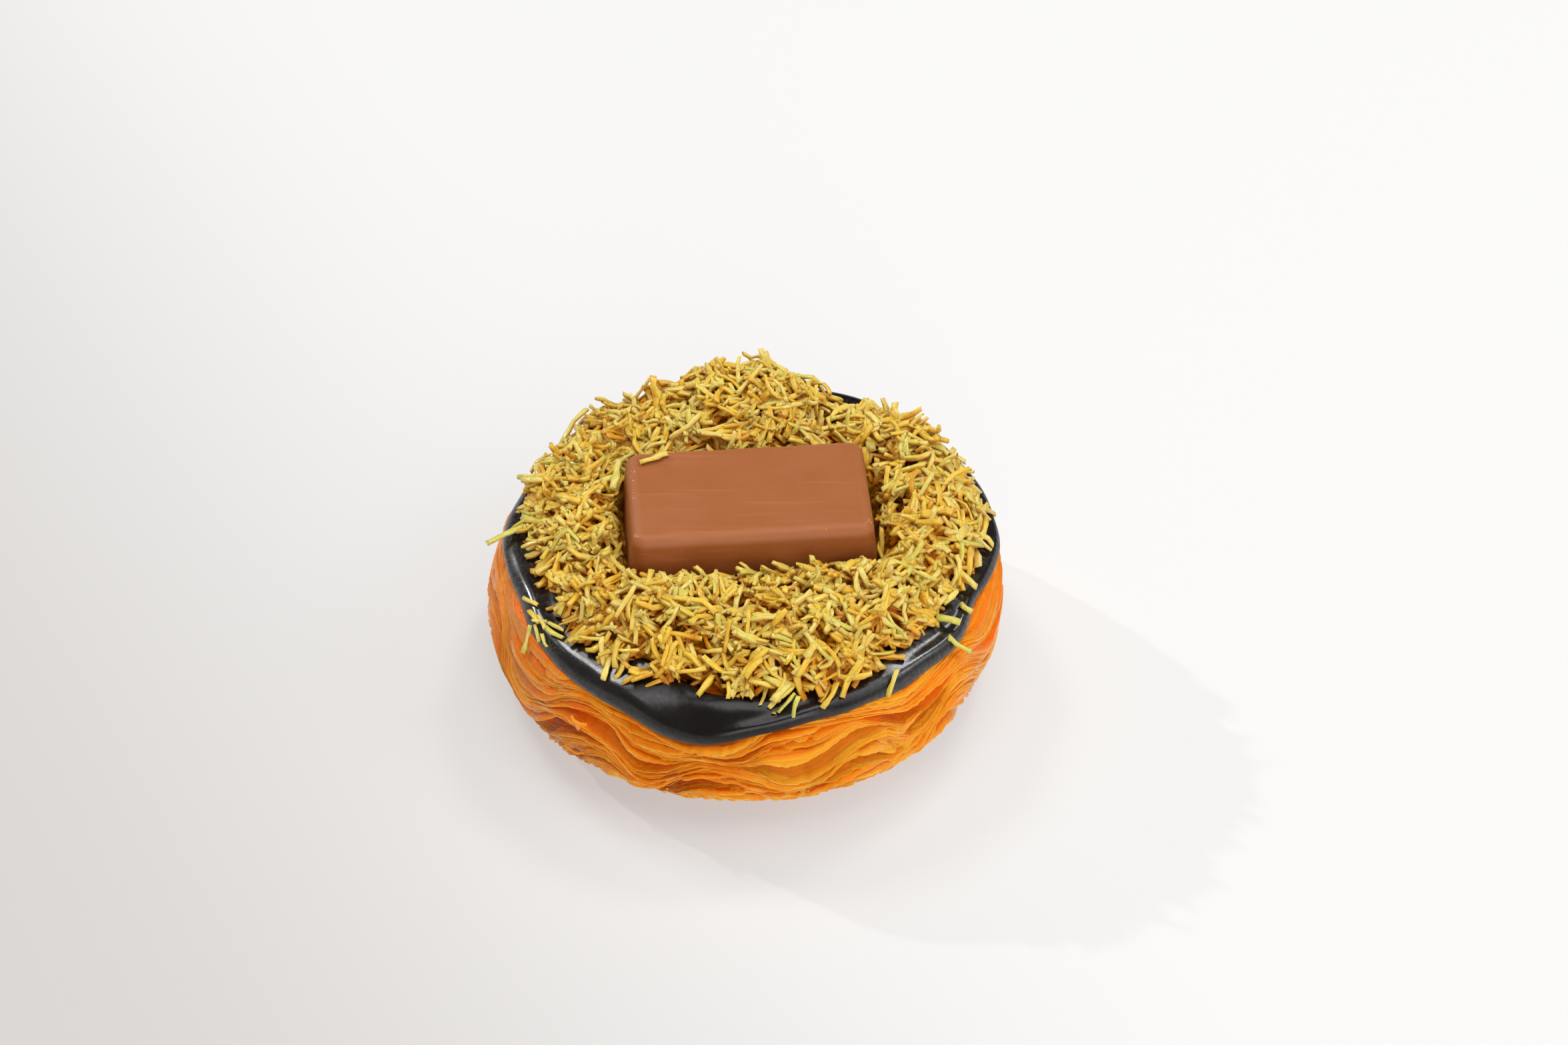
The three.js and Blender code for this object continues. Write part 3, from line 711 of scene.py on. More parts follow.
def buildGlaze(material):
    angles = directions(glaze["segments"])
    inner, outer = glazeInner(angles), glazeOuter(angles)
    rolling = waves(53, 3, 18, 16, 0.5)
    slope = bumps(angles, glaze["slopeBumps"])
    section = []  # share of the way out, height over the pastry, how far it counts as the outer face
    for share in (*np.linspace(0, 0.12, 5), *np.linspace(0.18, 0.86, 16), *np.linspace(0.9, 1, 6)):
        ends = min(1.0, 0.35 + 0.65 * math.sin(min(share / 0.14, 1) * math.pi / 2))
        ends *= 0.4 + 0.6 * math.sqrt(max(0.0, 1 - max(0.0, (share - 0.66) / 0.34) ** 2.4))
        lipRise = 0.3 * math.exp(-(((share - 0.76) / 0.1) ** 2))
        dish = 0.22 * math.exp(-(((share - 0.55) / 0.2) ** 2))
        height = glaze["thickness"] * ends + lipRise - dish + 0.14 * rolling(angles, share * 5)
        section.append((share, height + 2.0 * (0.68 - share) * slope, smoothstep(share, 0.93, 1.0)))
    for share in (1.0, 0.97, 0.9, 0.75, 0.4, 0.1, 0.0):
        height = glaze["gap"] + (0.28 if 0.5 < share < 0.98 else 0.0)
        section.append((share, height, 0.5 if share > 0.9 else 0.0))
    points = []
    for share, height, _ in section:
        distance = inner + (outer - inner) * share
        radius, z = upperAt(distance)
        outward, upward = upperNormal(distance)
        points.append(ringPoints(radius + outward * height, angles, z + upward * height))
    faces = gridFaces(len(section), len(angles), closedRows=True)
    # outside marks the outer face and the top at the right, where grey painted sheen and scuffs go
    matte = np.outer([row[2] for row in section], 1 - 0.85 * bump(angles, -105, 60))
    values = {"outside": np.clip(matte + 0.45 * bump(angles, 22, 40), 0, 1).ravel()}
    for key in ("pimply", "wrinkled"):
        values[key] = np.tile(bumps(angles, glaze[key + "Bumps"]), len(section))
    values["shine"] = np.tile(np.clip(0.12 + bumps(angles, glaze["shineBumps"]), 0, 1), len(section))
    flat = leanOut(np.concatenate(points))
    buildMesh("glazeRing", flat, faces, material, values, "dark_chocolate_glaze")


# The heap: its own core, and shreds dropped on it one by one, each resting on what lies under it
heap = {
    "floor": 30.45,
    "crest": 9.6,
    "crestBumps": [(92, 18, 1.4), (140, 28, -1.8), (60, 14, -3.2)],
    "beside": 5.2,  # its height next to the bar
    "barSlope": 8,  # how far from the bar it rises to the crest
    "rimSlope": 9,  # and how far in from its rim
    "rim": [
        47, 46.5, 45.3, 45.3, 46.3, 43.6, 41.6, 41.6, 42.6,
        42.6, 41.4, 43, 44.3, 43.6, 47, 47, 46.3, 46.8,
    ],
    # how far past the rim the loose shreds lie
    "scatter": 0.6,
    "scatterBumps": [
        (-110, 22, 1.7), (-60, 30, 0.8), (-99, 8, -5.0), (128, 24, 3.2), (62, 13, -5.6), (-29, 25, -3.2),
    ],
    "outermost": 47.8,  # from the middle of the pastry's top
    "coreDepth": 2.5,  # core under the heap's top
    "coreReach": 0.93,
    "coreSegments": 150,
    "count": 4300,
    "tries": 32000,
    "widths": (0.76, 1.16),
    "lengths": (2.6, 9.2),
    "stuck": 0.34,  # share of shreds with another stuck along it
    "upright": 0.36,  # share of shreds that stick up
    "uprightLongest": 6.0,
    "thick": 0.03,  # share of short thick ones
    "sides": 8,
    "cell": 0.3,  # of the grid of heights
    "gridHalf": 52,
    "seed": 7,
    # pieces by the tone of their shreds
    "pieces": {"paleShreds": (-2, 0.4), "yellowShreds": (0.4, 0.6), "goldenShreds": (0.6, 2)},
}
kataifiLook = {
    "green": srgb(112, 138, 24),
    "greenish": srgb(212, 203, 88),
    "pale": srgb(234, 214, 116),
    "yellow": srgb(234, 200, 72),
    "golden": srgb(232, 185, 54),
    "toasted": srgb(224, 158, 46),
    # amber colour for painted shade inside the heap
    "paintedShade": srgb(210, 122, 0),
    # dark amber heap core: painted shade where it shows between the shreds
    "core": srgb(110, 62, 0),
    "scatter": (0.2, 0.0005, (1.0, 0.9, 0.5)),
}


def kataifiMaterial():
    graph = Graph(bpy.data.materials.new("kataifiShreds"))
    look = kataifiLook
    place = graph.coordinates()
    tone = graph.attribute("tone")
    paintedShade = graph.attribute("paintedShade")
    mottle = graph.noise(place, 420, 3, 0.6)
    fine = graph.noise(place, 1900, 3, 0.65)
    beads = graph.noise(place, 5200, 2, 0.6)
    shade = tone + (mottle - 0.5) * 0.8 + (fine - 0.5) * 0.3
    base = graph.mix(shade.between(0.0, 0.16), look["greenish"], look["pale"])
    for colour, low, high in (("yellow", 0.16, 0.48), ("golden", 0.48, 0.78), ("toasted", 0.78, 1.05)):
        base = graph.mix(shade.between(low, high), base, look[colour])
    base = graph.mix(graph.attribute("end") * fine.between(0.4, 0.6) * 0.25, base, look["pale"])
    # amber painted shade under the pile's top and on each shred's sides and underside
    base = graph.mix(paintedShade * 0.9, base, look["paintedShade"])
    base = graph.mix(tone.between(-0.6, -0.4), look["green"], base)
    rough = 0.2 + fine.between(0.3, 0.7) * 0.3
    relief = graph.bumped(fine * 0.9 + mottle * 1.2 + beads * 0.3, 0.00035, 0.8)
    coat = {"Coat Weight": (1.0 - paintedShade) * 0.45, "Coat Roughness": 0.12}
    return graph.finish(base, rough, 0.2, relief, look["scatter"], coat)


def kataifiCoreMaterial():
    graph = Graph(bpy.data.materials.new("kataifiCore"))
    grain = graph.noise(graph.coordinates(), 500, 3, 0.6)
    # the core's dark amber is painted shade in the gaps under the shreds
    base = graph.mix(grain.between(0.4, 0.8), kataifiLook["core"], kataifiLook["toasted"])
    return graph.finish(base, 0.6, 0.0, graph.bumped(grain, 0.0008))


def heapRimAt(angle):
    # the rim's values lie evenly round, from +X anticlockwise, joined smoothly
    rim = np.array(heap["rim"], float)
    place = (angle / turn % 1) * len(rim)
    first = np.floor(place).astype(int)
    blend = smoothstep(place - first, 0, 1)
    joined = rim[first % len(rim)] * (1 - blend) + rim[(first + 1) % len(rim)] * blend
    return joined + 0.4 * np.sin(11 * angle + 2)


def scatterRim(angle):
    return heapRimAt(angle) + heap["scatter"] + bumps(angle, heap["scatterBumps"])


def pileRim(angle):
    return np.minimum(heapRimAt(angle), scatterRim(angle) + 1.0)


def heapTop(x, y):
    # height of the heap's top, without lumps of shreds
    angle, radius = polar(x, y)
    beside = smoothstep(np.maximum(barDistance(x, y), 0), 0, heap["barSlope"])
    crest = heap["crest"] + bumps(angle, heap["crestBumps"])
    lumps = 0.8 * np.sin(0.55 * x + 1.3) * np.sin(0.6 * y + 0.4) + 0.45 * np.sin(1.1 * x - 0.9 * y)
    level = heap["beside"] + (crest - heap["beside"]) * beside + lumps
    return heap["floor"] + level * np.sqrt(np.clip((pileRim(angle) - radius) / heap["rimSlope"], 0, 1))


def buildHeapCore(material):
    angles = directions(heap["coreSegments"])
    rim = pileRim(angles)
    under, seat = heap["floor"] - 0.1, barSeat - 0.15
    points = [np.array([[0, 0, under]])] + [ringPoints(rim * share, angles, under) for share in (0.7, 0.74)]
    for share in (*np.linspace(heap["coreReach"], 0.8, 6), *np.linspace(0.77, 0.1, 24)):
        x, y, _ = ringPoints(rim * share, angles, 0).T
        grain = 0.35 * np.sin(2.9 * x + 1.7 * y) * np.sin(2.3 * y - 1.1 * x)
        level = np.maximum(heapTop(x, y) - heap["coreDepth"] + grain, glazeTop(x, y) + 0.15)
        points.append(np.column_stack([x, y, np.where(barDistance(x, y) < 0.5, seat, level)]))
    faces = closedFaces(len(points) - 1, len(angles))
    flat = np.concatenate([*points, [(0, 0, seat)]])
    buildMesh("heapCore", flat, faces, material, {}, "kataifi_shreds")


def restingLine(offsets, heights):
    # the stick over these heights that touches on both sides of its middle: height there and slope
    middle = len(offsets) // 2
    best = None
    for i in range(middle + 1):
        for k in range(middle, len(offsets)):
            slope = (heights[k] - heights[i]) / (offsets[k] - offsets[i]) if k > i else 0.0
            level = heights[i] - slope * offsets[i]
            if best is None or level > best[0]:
                best = (level, slope)
    return best


def shredPoints(rng, centre, heading, tilt, length, width, depth, sections, bending=0.095):
    # rings of points along one bent or kinked, twisted, blunt-ended shred
    sides = heap["sides"]
    s = np.linspace(-1, 1, sections)
    flat = math.cos(tilt)
    along = np.array([math.cos(heading) * flat, math.sin(heading) * flat, math.sin(tilt)])
    across = np.array([-math.sin(heading), math.cos(heading), 0.0])
    over = np.cross(along, across)
    bend = rng.normal(0, bending) * length
    if rng.rand() < 0.3:
        kink = rng.uniform(-0.5, 0.5)
        bow = 1.6 * bend * (1 - np.abs(s - kink) / (1 + abs(kink)))
    else:
        bow = bend * (1 - s**2)
    middle = centre + np.outer(s * length / 2, along)
    middle += np.outer(bow, across) + np.outer(bow * rng.uniform(-0.8, 0.8), over)
    middle += rng.normal(0, 0.045, (sections, 3))
    roll = rng.uniform(-0.6, 0.6) + np.linspace(0, rng.normal(0, 0.5), sections)
    a = directions(sides) + turn / sides / 2
    squareX, squareY = (np.sign(part) * np.abs(part) ** 0.45 for part in (np.cos(a), np.sin(a)))
    rings = []
    for k in range(sections):
        atEnd = k in (0, sections - 1)
        wide = width / 2 * (1 + 0.14 * rng.normal()) * (0.93 if atEnd else 1)
        thick = depth / 2 * (1 + 0.14 * rng.normal()) * (0.9 if atEnd else 1)
        c, n = math.cos(roll[k]), math.sin(roll[k])
        u, v = squareX * wide, squareY * thick
        ring = middle[k] + np.outer(u * c - v * n, across) + np.outer(u * n + v * c, over)
        ring = ring + rng.normal(0, 0.045 * width, (sides, 3))
        if atEnd:
            slant = rng.normal(0, 0.22)
            ring = ring + np.outer(slant * u + rng.uniform(-0.16, 0.16, sides), along)
        rings.append(ring)
    return np.concatenate(rings)


def shredTone(rng):
    # most are pale or yellow, and a few golden
    kind = rng.rand()
    low, high = (0.0, 0.3) if kind < 0.38 else (0.3, 0.64) if kind < 0.88 else (0.64, 0.92)
    return rng.uniform(low, high)


class Pile:
    # heights on a square grid: how high the pile lies so far, and how high it should come to lie
    def __init__(self):
        self.side = np.arange(-heap["gridHalf"], heap["gridHalf"], heap["cell"])
        x, y = np.meshgrid(self.side, self.side, indexing="ij")
        angle, radius = polar(x, y)
        fromRim = scatterRim(angle) - radius
        fromBar = barDistance(x, y)
        lumps = 2.3 * np.sin(0.56 * x + 1.1 * np.sin(0.4 * y))
        lumps *= np.sin(0.6 * y + 0.8 * np.sin(0.36 * x) + 2.0)
        lumps *= smoothstep(fromRim, 0, 5) * smoothstep(fromBar, 0.5, 4)
        lumps += 2.2 * bump(angle, 128, 26) * smoothstep(fromRim, 0, 2) * smoothstep(-fromRim, -9, -5)
        top, glazed = heapTop(x, y), glazeTop(x, y)
        core = np.where(radius < heap["coreReach"] * pileRim(angle), top - heap["coreDepth"], 0)
        base = np.maximum(core, glazed)
        self.target = np.maximum(top + lumps, glazed + 1.5 * smoothstep(fromRim, -0.8, 1.0))
        self.target = np.maximum(self.target, base + 1.7 * smoothstep(fromRim, 0.5, 2.5))
        onTart = fromTop(x, y)[1] < heap["outermost"]
        self.bare = np.where(onTart, base, -50.0)
        self.ground = self.bare.copy()
        self.free = np.argwhere((fromRim > -0.6) & onTart & (fromBar > 0))

    def cellOf(self, x, y):
        cells = (((np.asarray(value) + heap["gridHalf"]) / heap["cell"]).astype(int) for value in (x, y))
        return tuple(np.clip(cell, 0, len(self.side) - 1) for cell in cells)

    def cover(self, x, y, height, heading):
        # raises the ground under a shred, three cells wide
        for aside in (-0.4, 0.0, 0.4):
            cells = self.cellOf(x - aside * math.sin(heading), y + aside * math.cos(heading))
            ground = self.ground[cells]
            self.ground[cells] = np.where(ground < 0, ground, np.maximum(ground, height))

    def pick(self, rng):
        # of nine free cells, the one that lacks most, bare ones first
        i, j = self.free[rng.randint(0, len(self.free), 9)].T
        lack = self.target[i, j] - self.ground[i, j]
        lack += 1.5 * (self.ground[i, j] < self.bare[i, j] + 0.1)
        best = np.argmax(lack + rng.uniform(0, 0.8, 9))
        return [self.side[cells[best]] + rng.uniform(0, heap["cell"]) for cells in (i, j)]


def dropShred(rng, pile):
    # one shred, often with another stuck along it, each as points and tone; none where it would lie badly
    stations = np.linspace(-1, 1, 9)
    x, y = pile.pick(rng)
    upright = rng.rand() < heap["upright"]
    shortest, longest = heap["lengths"]
    length = shortest + (longest - shortest) * rng.beta(2.1, 2.1)
    width = rng.uniform(*heap["widths"])
    if rng.rand() < heap["thick"]:
        length, width = rng.uniform(2.2, 3.6), rng.uniform(1.4, 2.0)
    depth = min(width, 1.2) * rng.uniform(0.55, 0.85)
    # neighbours tend to lie along each other
    heading = 2.2 * math.sin(0.21 * x + 1.0) + 2.0 * math.sin(0.24 * y - 0.5) + rng.normal(0, 0.8)
    heading += math.pi * rng.randint(0, 2)
    cosine, sine = math.cos(heading), math.sin(heading)
    tilt = 0.0
    if upright:
        length, tilt = min(length, heap["uprightLongest"]), rng.uniform(0.3, 1.1)
    reach = stations * (length / 2 * math.cos(tilt))
    px, py = x + reach * cosine, y + reach * sine
    if np.any(barDistance(px, py) < width * 0.6):
        return []
    slack = 2.4 if rng.rand() < 0.3 else 0.8
    if np.any(np.hypot(px, py) > scatterRim(np.arctan2(py, px)) + slack):
        return []
    cells = pile.cellOf(px, py)
    ground = pile.ground[cells]
    if upright:
        z = ground[0] - 0.8 + math.sin(tilt) * length / 2
        if ground[0] < 0 or z + math.sin(tilt) * length / 2 > pile.target[cells][-1] + 2.6:
            return []
        pile.cover(px[:4], py[:4], z + reach[:4] * math.tan(tilt), heading)
    else:
        level, slope = restingLine(reach, ground)
        tilt = math.atan(np.clip(slope, -1.0, 1.0)) * 0.9 + rng.normal(0, 0.16)
        z = level + depth * 0.25 - 0.12
        if z > pile.target[pile.cellOf(x, y)] + 0.7:
            return []
        pile.cover(px, py, z + reach * math.tan(tilt) + depth * 0.3, heading)
    patch = 0.16 * math.sin(0.21 * x + 0.8) * math.sin(0.24 * y + 2.2)
    tone = float(np.clip(shredTone(rng) + patch, 0, 1))
    sections = 6 if length > 4.6 else 4
    body = shredPoints(rng, np.array([x, y, z]), heading, tilt, length, width, depth, sections)
    body[:, 2] = np.maximum(body[:, 2], barSeat - 0.8)
    if rng.rand() >= heap["stuck"]:
        return [(body, tone)]

    aside, ahead = rng.choice([-1, 1]) * width * 0.8, rng.uniform(-0.25, 0.25) * length
    x, y = x + ahead * cosine - aside * sine, y + ahead * sine + aside * cosine
    length *= rng.uniform(0.6, 0.95)
    reach = stations * length / 2
    px, py = x + reach * cosine, y + reach * sine
    if np.any(barDistance(px, py) < width * 0.6) or fromTop(x, y)[1] > heap["outermost"] - 1.3:
        return [(body, tone)]
    z += ahead * math.tan(tilt) + rng.uniform(-0.2, 0.3)
    place = np.array([x, y, z])
    second = shredPoints(rng, place, heading + rng.normal(0, 0.15), tilt, length, width, depth, 4)
    secondTone = float(np.clip(tone + rng.normal(0, 0.1), 0, 1))
    if not upright:
        pile.cover(px, py, z + reach * math.tan(tilt) + depth * 0.3, heading)
    return [(body, tone), (second, secondTone)]


def shredTube(body, tone, paintedShade):
    ends = np.zeros(len(body))
    ends[: heap["sides"]] = ends[-heap["sides"] :] = 1.0
    return body, {"tone": tone, "end": ends, "paintedShade": paintedShade}


def dropShreds():
    rng = np.random.RandomState(heap["seed"])
    pile = Pile()
    shreds, tries = [], 0
    while len(shreds) < heap["count"] and tries < heap["tries"]:
        shreds += dropShred(rng, pile)
        tries += 1
    print(f"shreds placed: {len(shreds)} of {tries} tries")
    # painted shade: a shred darkens where it lies under the pile's final top, and on its own sides and
    # underside
    crown = pile.ground.copy()
    for reach in (3, 3, 3, 7, 7):
        nearby = [np.roll(crown, step, axis) for step in (-reach, reach) for axis in (0, 1)]
        crown = np.maximum(crown, 0.25 * sum(nearby))
    tubes = []
    for body, tone in shreds:
        under = smoothstep(crown[pile.cellOf(body[:, 0], body[:, 1])] - body[:, 2], 0.3, 2.2)
        heights = body[:, 2].reshape(-1, heap["sides"])
        below = smoothstep(heights.mean(axis=1, keepdims=True) - heights, -0.35, 0.3).ravel()
        tubes.append(shredTube(body, tone, np.clip(under + 0.72 * below, 0, 1)))
    return tubes


# single shreds where the photo shows them: from, to, width, tone
strays = [
    ((-48.6, -3.3, 31.6), (-40.4, -0.9, 34.6), 1.0, 0.02),
    ((-40.9, -27.0, 25.5), (-39.4, -24.2, 30.1), 0.85, 0.05),
    ((-39.6, -21.8, 31.6), (-37.7, -25.4, 31.8), 0.75, 0.5),
    ((-36.6, -26.3, 32.3), (-33.1, -29.8, 32.3), 0.85, 0.02),
    ((-35.9, -26.0, 32.5), (-32.9, -28.7, 33.1), 0.7, 0.2),
    ((-38.5, -25.1, 31.1), (-37.5, -28.3, 30.1), 0.8, 0.1),
    ((-37.0, -28.2, 31.7), (-36.1, -30.2, 30.3), 0.75, 0.12),
    ((-40.8, -19.2, 32.3), (-38.0, -21.4, 32.7), 0.75, 0.3),
    ((-37.8, -23.7, 32.3), (-36.5, -28.0, 32.8), 0.7, 0.25),
    ((-39.0, -24.8, 32.1), (-36.2, -25.6, 32.5), 0.7, 0.15),
    ((6.9, -48.4, 31.3), (9.9, -45.9, 33.9), 0.8, 0.05),
    ((9.6, -49.1, 31.1), (10.7, -46.9, 34.2), 0.85, 0.02),
    ((27.0, -41.8, 29.1), (28.6, -39.3, 33.5), 1.0, 0.3),
    ((-7.8, -45.2, 32.5), (-5.0, -41.6, 34.1), 1.2, 0.7),
    ((5.9, -47.3, 33.2), (9.0, -44.4, 35.0), 1.4, 0.2),
    ((38.5, -28.9, 32.0), (42.8, -30.2, 28.9), 1.05, 0.05),
    ((36.3, -25.8, 33.7), (40.6, -26.8, 33.3), 1.4, 0.0),
    ((41.0, -20.9, 32.5), (43.1, -22.7, 32.1), 1.3, 0.15),
    ((39.6, -13.4, 35.4), (43.9, -17.7, 33.8), 1.2, 0.3),
    ((37.7, -22.3, 34.0), (40.2, -19.7, 34.8), 1.2, 0.35),
    ((-19.3, 6.2, 43.9), (-14.4, 8.6, 43.9), 1.3, 0.35),
    ((-23.6, 10.4, 40.6), (-24.6, 3.6, 39.4), 1.4, 0.1),
    ((13.2, -16.2, 40.4), (14.2, -19.0, 35.6), 1.2, 0.1),
    ((-26.0, -3.9, 37.6), (-24.9, -5.3, 37.4), 1.4, -1.0),  # the green one
]


def strayShreds():
    rng = np.random.RandomState(heap["seed"] + 2)
    tubes = []
    for start, end, width, tone in strays:
        start, end = np.array(start), np.array(end)
        dx, dy, dz = end - start
        heading, tilt = math.atan2(dy, dx), math.atan2(dz, math.hypot(dx, dy))
        length = np.linalg.norm(end - start)
        sections = int(np.clip(length / 0.9, 4, 8))
        middle = (start + end) / 2
        body = shredPoints(rng, middle, heading, tilt, length, width, width * 0.75, sections, 0.03)
        tubes.append(shredTube(body, tone, 0.0))
    return tubes


def buildTubes(name, tubes, material, node=None):
    # capped tubes as one piece, each as its rings of points and its attributes
    sides = heap["sides"]
    faces, start = [], 0
    for body, _ in tubes:
        last = start + len(body) - sides
        faces += gridFaces(len(body) // sides, sides, start=start)
        faces += [list(range(start, start + sides))[::-1], list(range(last, last + sides))]
        start += len(body)
    values = {}
    for key in tubes[0][1]:
        values[key] = np.concatenate([np.full(len(body), given[key], float) for body, given in tubes])
    buildMesh(name, np.concatenate([body for body, _ in tubes]), faces, material, values, node)


def buildShreds(material):
    shreds = dropShreds() + strayShreds()
    for name, (low, high) in heap["pieces"].items():
        chosen = [shred for shred in shreds if low <= shred[1]["tone"] < high]
        buildTubes(name, chosen, material, "kataifi_shreds")


# Small lumps: crumbs low on the pastry's side, bits of dark chocolate, beads of fat on the bar
lumps = {
    "rings": 6,
    "crumbs": 300,
    "crumbBumps": [(-56, 20, 1.0), (-108, 14, 1.0)],  # where they gather
    "crumbSeed": 9,
    # in front of the bar: place and size
    "bits": [
        ((-4.1, -18.1, 36.6), 0.3), ((-1.0, -17.8, 36.8), 0.42), ((3.2, -18.4, 36.7), 0.36),
        ((7.4, -18.7, 36.6), 0.3), ((-14.6, -18.2, 36.9), 0.32), ((-20.9, -21.6, 36.0), 0.28),
    ],
    "bitSeed": 17,
    # along the left top edge and at two corners of the bar: side, how many, from, to
    "beads": [(-1, 15, -1.5, 9.5), (-1, 4, -11.6, -9.5), (1, 6, -11.8, -9.8)],
    "beadSeed": 19,
}


def lumpPoints(rng, centre, size, squash=0.8):
    # an uneven little ball as rings of points
    count, sides = lumps["rings"], heap["sides"]
    stretch = rng.uniform(0.7, 1.3, 3) * (1, 1, squash) * size
    rings = []
    for polarAngle in (np.arange(count) + 0.5) * math.pi / count:
        ring = ringPoints(math.sin(polarAngle), directions(sides), -math.cos(polarAngle))
        rings.append(centre + ring * rng.uniform(0.62, 1.25, (sides, 1)) * stretch)
    return np.concatenate(rings)


def buildFootCrumbs(material):
    rng = np.random.RandomState(lumps["crumbSeed"])
    tubes = []
    while len(tubes) < lumps["crumbs"]:
        direction = math.radians(rng.uniform(-180, 180))
        if rng.rand() > 0.25 + bumps(direction, lumps["crumbBumps"]):
            continue
        z = np.clip(rng.normal(7.0, 1.5), 0.8, 12)
        size = 0.14 + 0.4 * rng.rand() ** 2
        centre = ringPoints(sideRadius(z) + rng.uniform(-0.5, 0.1), direction, z)
        body = lumpPoints(rng, centre, size)
        tone = rng.uniform(0.1, 0.6)
        tubes.append((body, {"lip": 0.8, "tone": tone, "crumb": 1 - tone}))
    buildTubes("footCrumbs", tubes, material)


def buildDarkBits(material):
    rng = np.random.RandomState(lumps["bitSeed"])
    values = dict.fromkeys(("outside", "pimply", "wrinkled", "shine"), 0.0)
    tubes = [(lumpPoints(rng, np.array(place), size), values) for place, size in lumps["bits"]]
    buildTubes("chocolateBits", tubes, material)


def buildBeads(material):
    rng = np.random.RandomState(lumps["beadSeed"])
    places = []
    for side, count, low, high in lumps["beads"]:
        places += [(side, rng.uniform(low, high)) for _ in range(count)]
    tubes = []
    for side, y in places:
        inset, z = filletAt(rng.uniform(0.7, 1.25))
        centre = placeBar(np.array([[side * (bar["length"] / 2 - inset), y, z]]))[0]
        tubes.append((lumpPoints(rng, centre, rng.uniform(0.12, 0.26), 0.7), {}))
    buildTubes("barBeads", tubes, material)


# Thin flakes that curl off the side
flakes = {
    "thickness": 0.18,
    "rings": 9,
    # points as direction, height and distance out, then width
    "lines": [
        ([(-128.8, 17.8, 0.0), (-128.4, 19.2, 0.8), (-128.0, 20.6, 1.2), (-127.8, 21.4, 1.0)], 1.5),
        ([(-130.4, 21.7, 0.9), (-129.2, 21.2, 1.2), (-127.4, 21.3, 1.3), (-126.0, 21.9, 1.0)], 0.9),
        ([(-132.4, 11.9, 0.1), (-130.6, 11.4, 0.7), (-128.4, 11.3, 0.8), (-126.4, 12.0, 0.2)], 0.5),
    ],
}


def buildFlakes(material):
    count = flakes["rings"]
    a = directions(heap["sides"]) + turn / heap["sides"] / 2
    taper = 0.45 + 0.55 * np.sin(np.linspace(0.25, math.pi - 0.25, count))
    tubes = []
    for line, width in flakes["lines"]:
        line = np.array(line)
        steps = np.linspace(0, len(line) - 1, count)
        direction, z, out = (np.interp(steps, np.arange(len(line)), line[:, k]) for k in range(3))
        direction = np.radians(direction)
        middle = ringPoints(sideRadius(z) + 0.2 + out, direction, z)
        along = np.gradient(middle, axis=0)
        along /= np.linalg.norm(along, axis=1, keepdims=True)
        across = np.cross(ringPoints(1.0, direction, 0.5), along)
        across /= np.linalg.norm(across, axis=1, keepdims=True)
        over = np.cross(along, across)
        rings = []
        for k in range(count):
            wide, thick = np.cos(a) * width / 2 * taper[k], np.sin(a) * flakes["thickness"] / 2
            rings.append(middle[k] + np.outer(wide, across[k]) + np.outer(thick, over[k]))
        tubes.append((leanOut(np.concatenate(rings)), {"lip": 0.9, "tone": 0.4, "crumb": 0.2}))
    buildTubes("looseFlakes", tubes, material)


# Light and floor
studio = {
    "keyDirection": (-1.4, 0.88, 1.0),  # towards the light
    "keyStrength": 0.85,
    "keyAngle": 1.5,
    "worldFront": 0.2,
    "worldBack": 0.05,
    "horizon": 0.55,
    "horizonHeight": 0.3,
    # place in metres, power in watts, size in metres
    "boxes": {
        "right": ((1.35, -0.25, 1.3), 8.0, 1.8),
        "rightCore": ((1.3, -0.24, 1.25), 3.0, 0.5),
        "rightTop": ((0.61, 0.77, 1.56), 6.5, 0.34),
        "leftTop": ((-0.66, 0.71, 1.5), 7.5, 0.4),
        "top": ((0.1, -0.15, 1.9), 12.0, 1.1),
        "front": ((0.5, -2.1, 0.85), 22.0, 1.6),
    },
    "aim": (0, 0, 0.02),
    "floorHalf": 3.0,
    "floor": srgb(160, 160, 160),
    "glowLeft": srgb(142, 136, 132),
    "glowRight": srgb(189, 188, 186),
}


def floorMaterial():
    # a table lit from within, less at the left and at the front
    graph = Graph(bpy.data.materials.new("paleFloor"))
    x, y, _ = graph.parts(graph.coordinates())
    glow = graph.mix((x + y * 0.6).between(-0.19, 0.04), studio["glowLeft"], studio["glowRight"])
    emission = {"Emission Color": glow, "Emission Strength": 1.0}
    return graph.finish(studio["floor"], 0.6, 0.1, others=emission)


def addToScene(name, data):
    made = bpy.data.objects.new(name, data)
    bpy.context.scene.collection.objects.link(made)
    return made


def buildLights():
    sun = bpy.data.lights.new("key", "SUN")
    sun.energy = studio["keyStrength"]
    sun.angle = math.radians(studio["keyAngle"])
    key = addToScene("key", sun)
    key.rotation_euler = Vector(studio["keyDirection"]).to_track_quat("Z", "Y").to_euler()
    for name, (place, power, size) in studio["boxes"].items():
        light = bpy.data.lights.new(name, "AREA")
        light.energy = power
        light.shape = "SQUARE"
        light.size = size
        lamp = addToScene(name, light)
        lamp.location = place
        lamp.rotation_euler = (Vector(studio["aim"]) - Vector(place)).to_track_quat("-Z", "Y").to_euler()


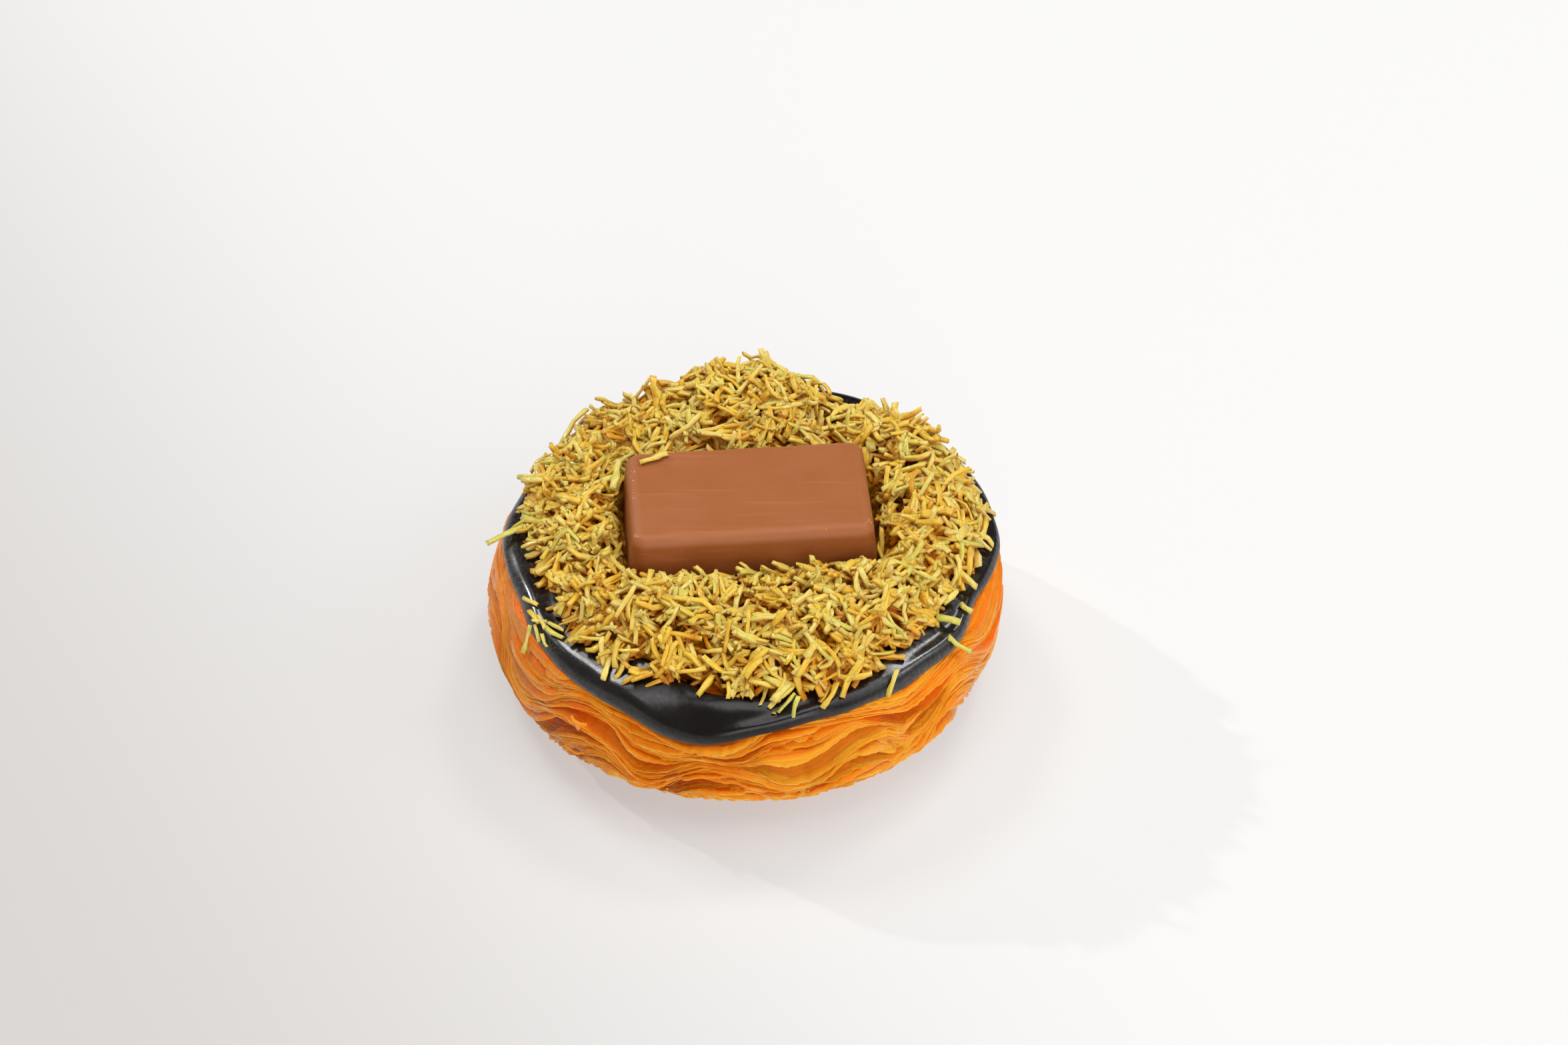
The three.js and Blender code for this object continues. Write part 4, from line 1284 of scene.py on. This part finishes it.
def buildWorld():
    # bright at the horizon, and darker high up at the back, which the glaze mirrors towards the camera
    graph = Graph(bpy.data.worlds.new("studio"))
    _, y, z = graph.parts(graph.coordinates("Generated"))
    level = studio["worldFront"] + y.between(-0.2, 0.6) * (studio["worldBack"] - studio["worldFront"])
    level = level + z.between(studio["horizonHeight"], 0.0) * studio["horizon"]
    background = graph.node("Background", {"Color": (1, 1, 1, 1), "Strength": level})
    graph.node("OutputWorld", {"Surface": background.outputs[0]})
    bpy.context.scene.world = graph.owner
    bpy.context.scene.view_settings.view_transform = "Standard"


def buildFloor():
    mesh = bpy.data.meshes.new("floor")
    half = studio["floorHalf"]
    corners = [(-half, -half, 0), (half, -half, 0), (half, half, 0), (-half, half, 0)]
    mesh.from_pydata(corners, [], [(0, 1, 2, 3)])
    mesh.materials.append(floorMaterial())
    floor = addToScene("floor", mesh)


# fitted to the photo: pixelsPerMm holds at the origin, which lies at this pixel of the frame
lens = {
    "frame": (2352, 1568),
    "origin": (1120.0, 979.0),
    "pixelsPerMm": 7.63,
    "elevation": 42.5,
    "distance": 0.75,
    "sensorWidth": 36,
}


def buildCamera():
    elevation = math.radians(lens["elevation"])
    forward = Vector((0, math.cos(elevation), -math.sin(elevation)))
    up = Vector((0, math.sin(elevation), math.cos(elevation)))
    scale = lens["pixelsPerMm"] * 1000
    right = (lens["frame"][0] / 2 - lens["origin"][0]) / scale
    rise = (lens["origin"][1] - lens["frame"][1] / 2) / scale
    data = bpy.data.cameras.new("camera")
    data.sensor_width = lens["sensorWidth"]
    data.lens = scale * lens["distance"] / lens["frame"][0] * lens["sensorWidth"]
    data.clip_start = 0.01
    camera = addToScene("camera", data)
    camera.location = Vector((right, 0, 0)) - forward * lens["distance"] + up * rise
    camera.rotation_euler = (math.pi / 2 - elevation, 0, 0)
    bpy.context.scene.camera = camera


buildCamera()
buildLights()
buildWorld()
buildFloor()
baked = pastryMaterial()
buildPastryCore(baked)
buildLeaves(baked)
buildFootCrumbs(baked)
buildFlakes(baked)
darkGlaze = glazeMaterial()
buildGlaze(darkGlaze)
buildDarkBits(darkGlaze)
buildBar(barMaterial())
buildBeads(beadMaterial())
buildHeapCore(kataifiCoreMaterial())
buildShreds(kataifiMaterial())
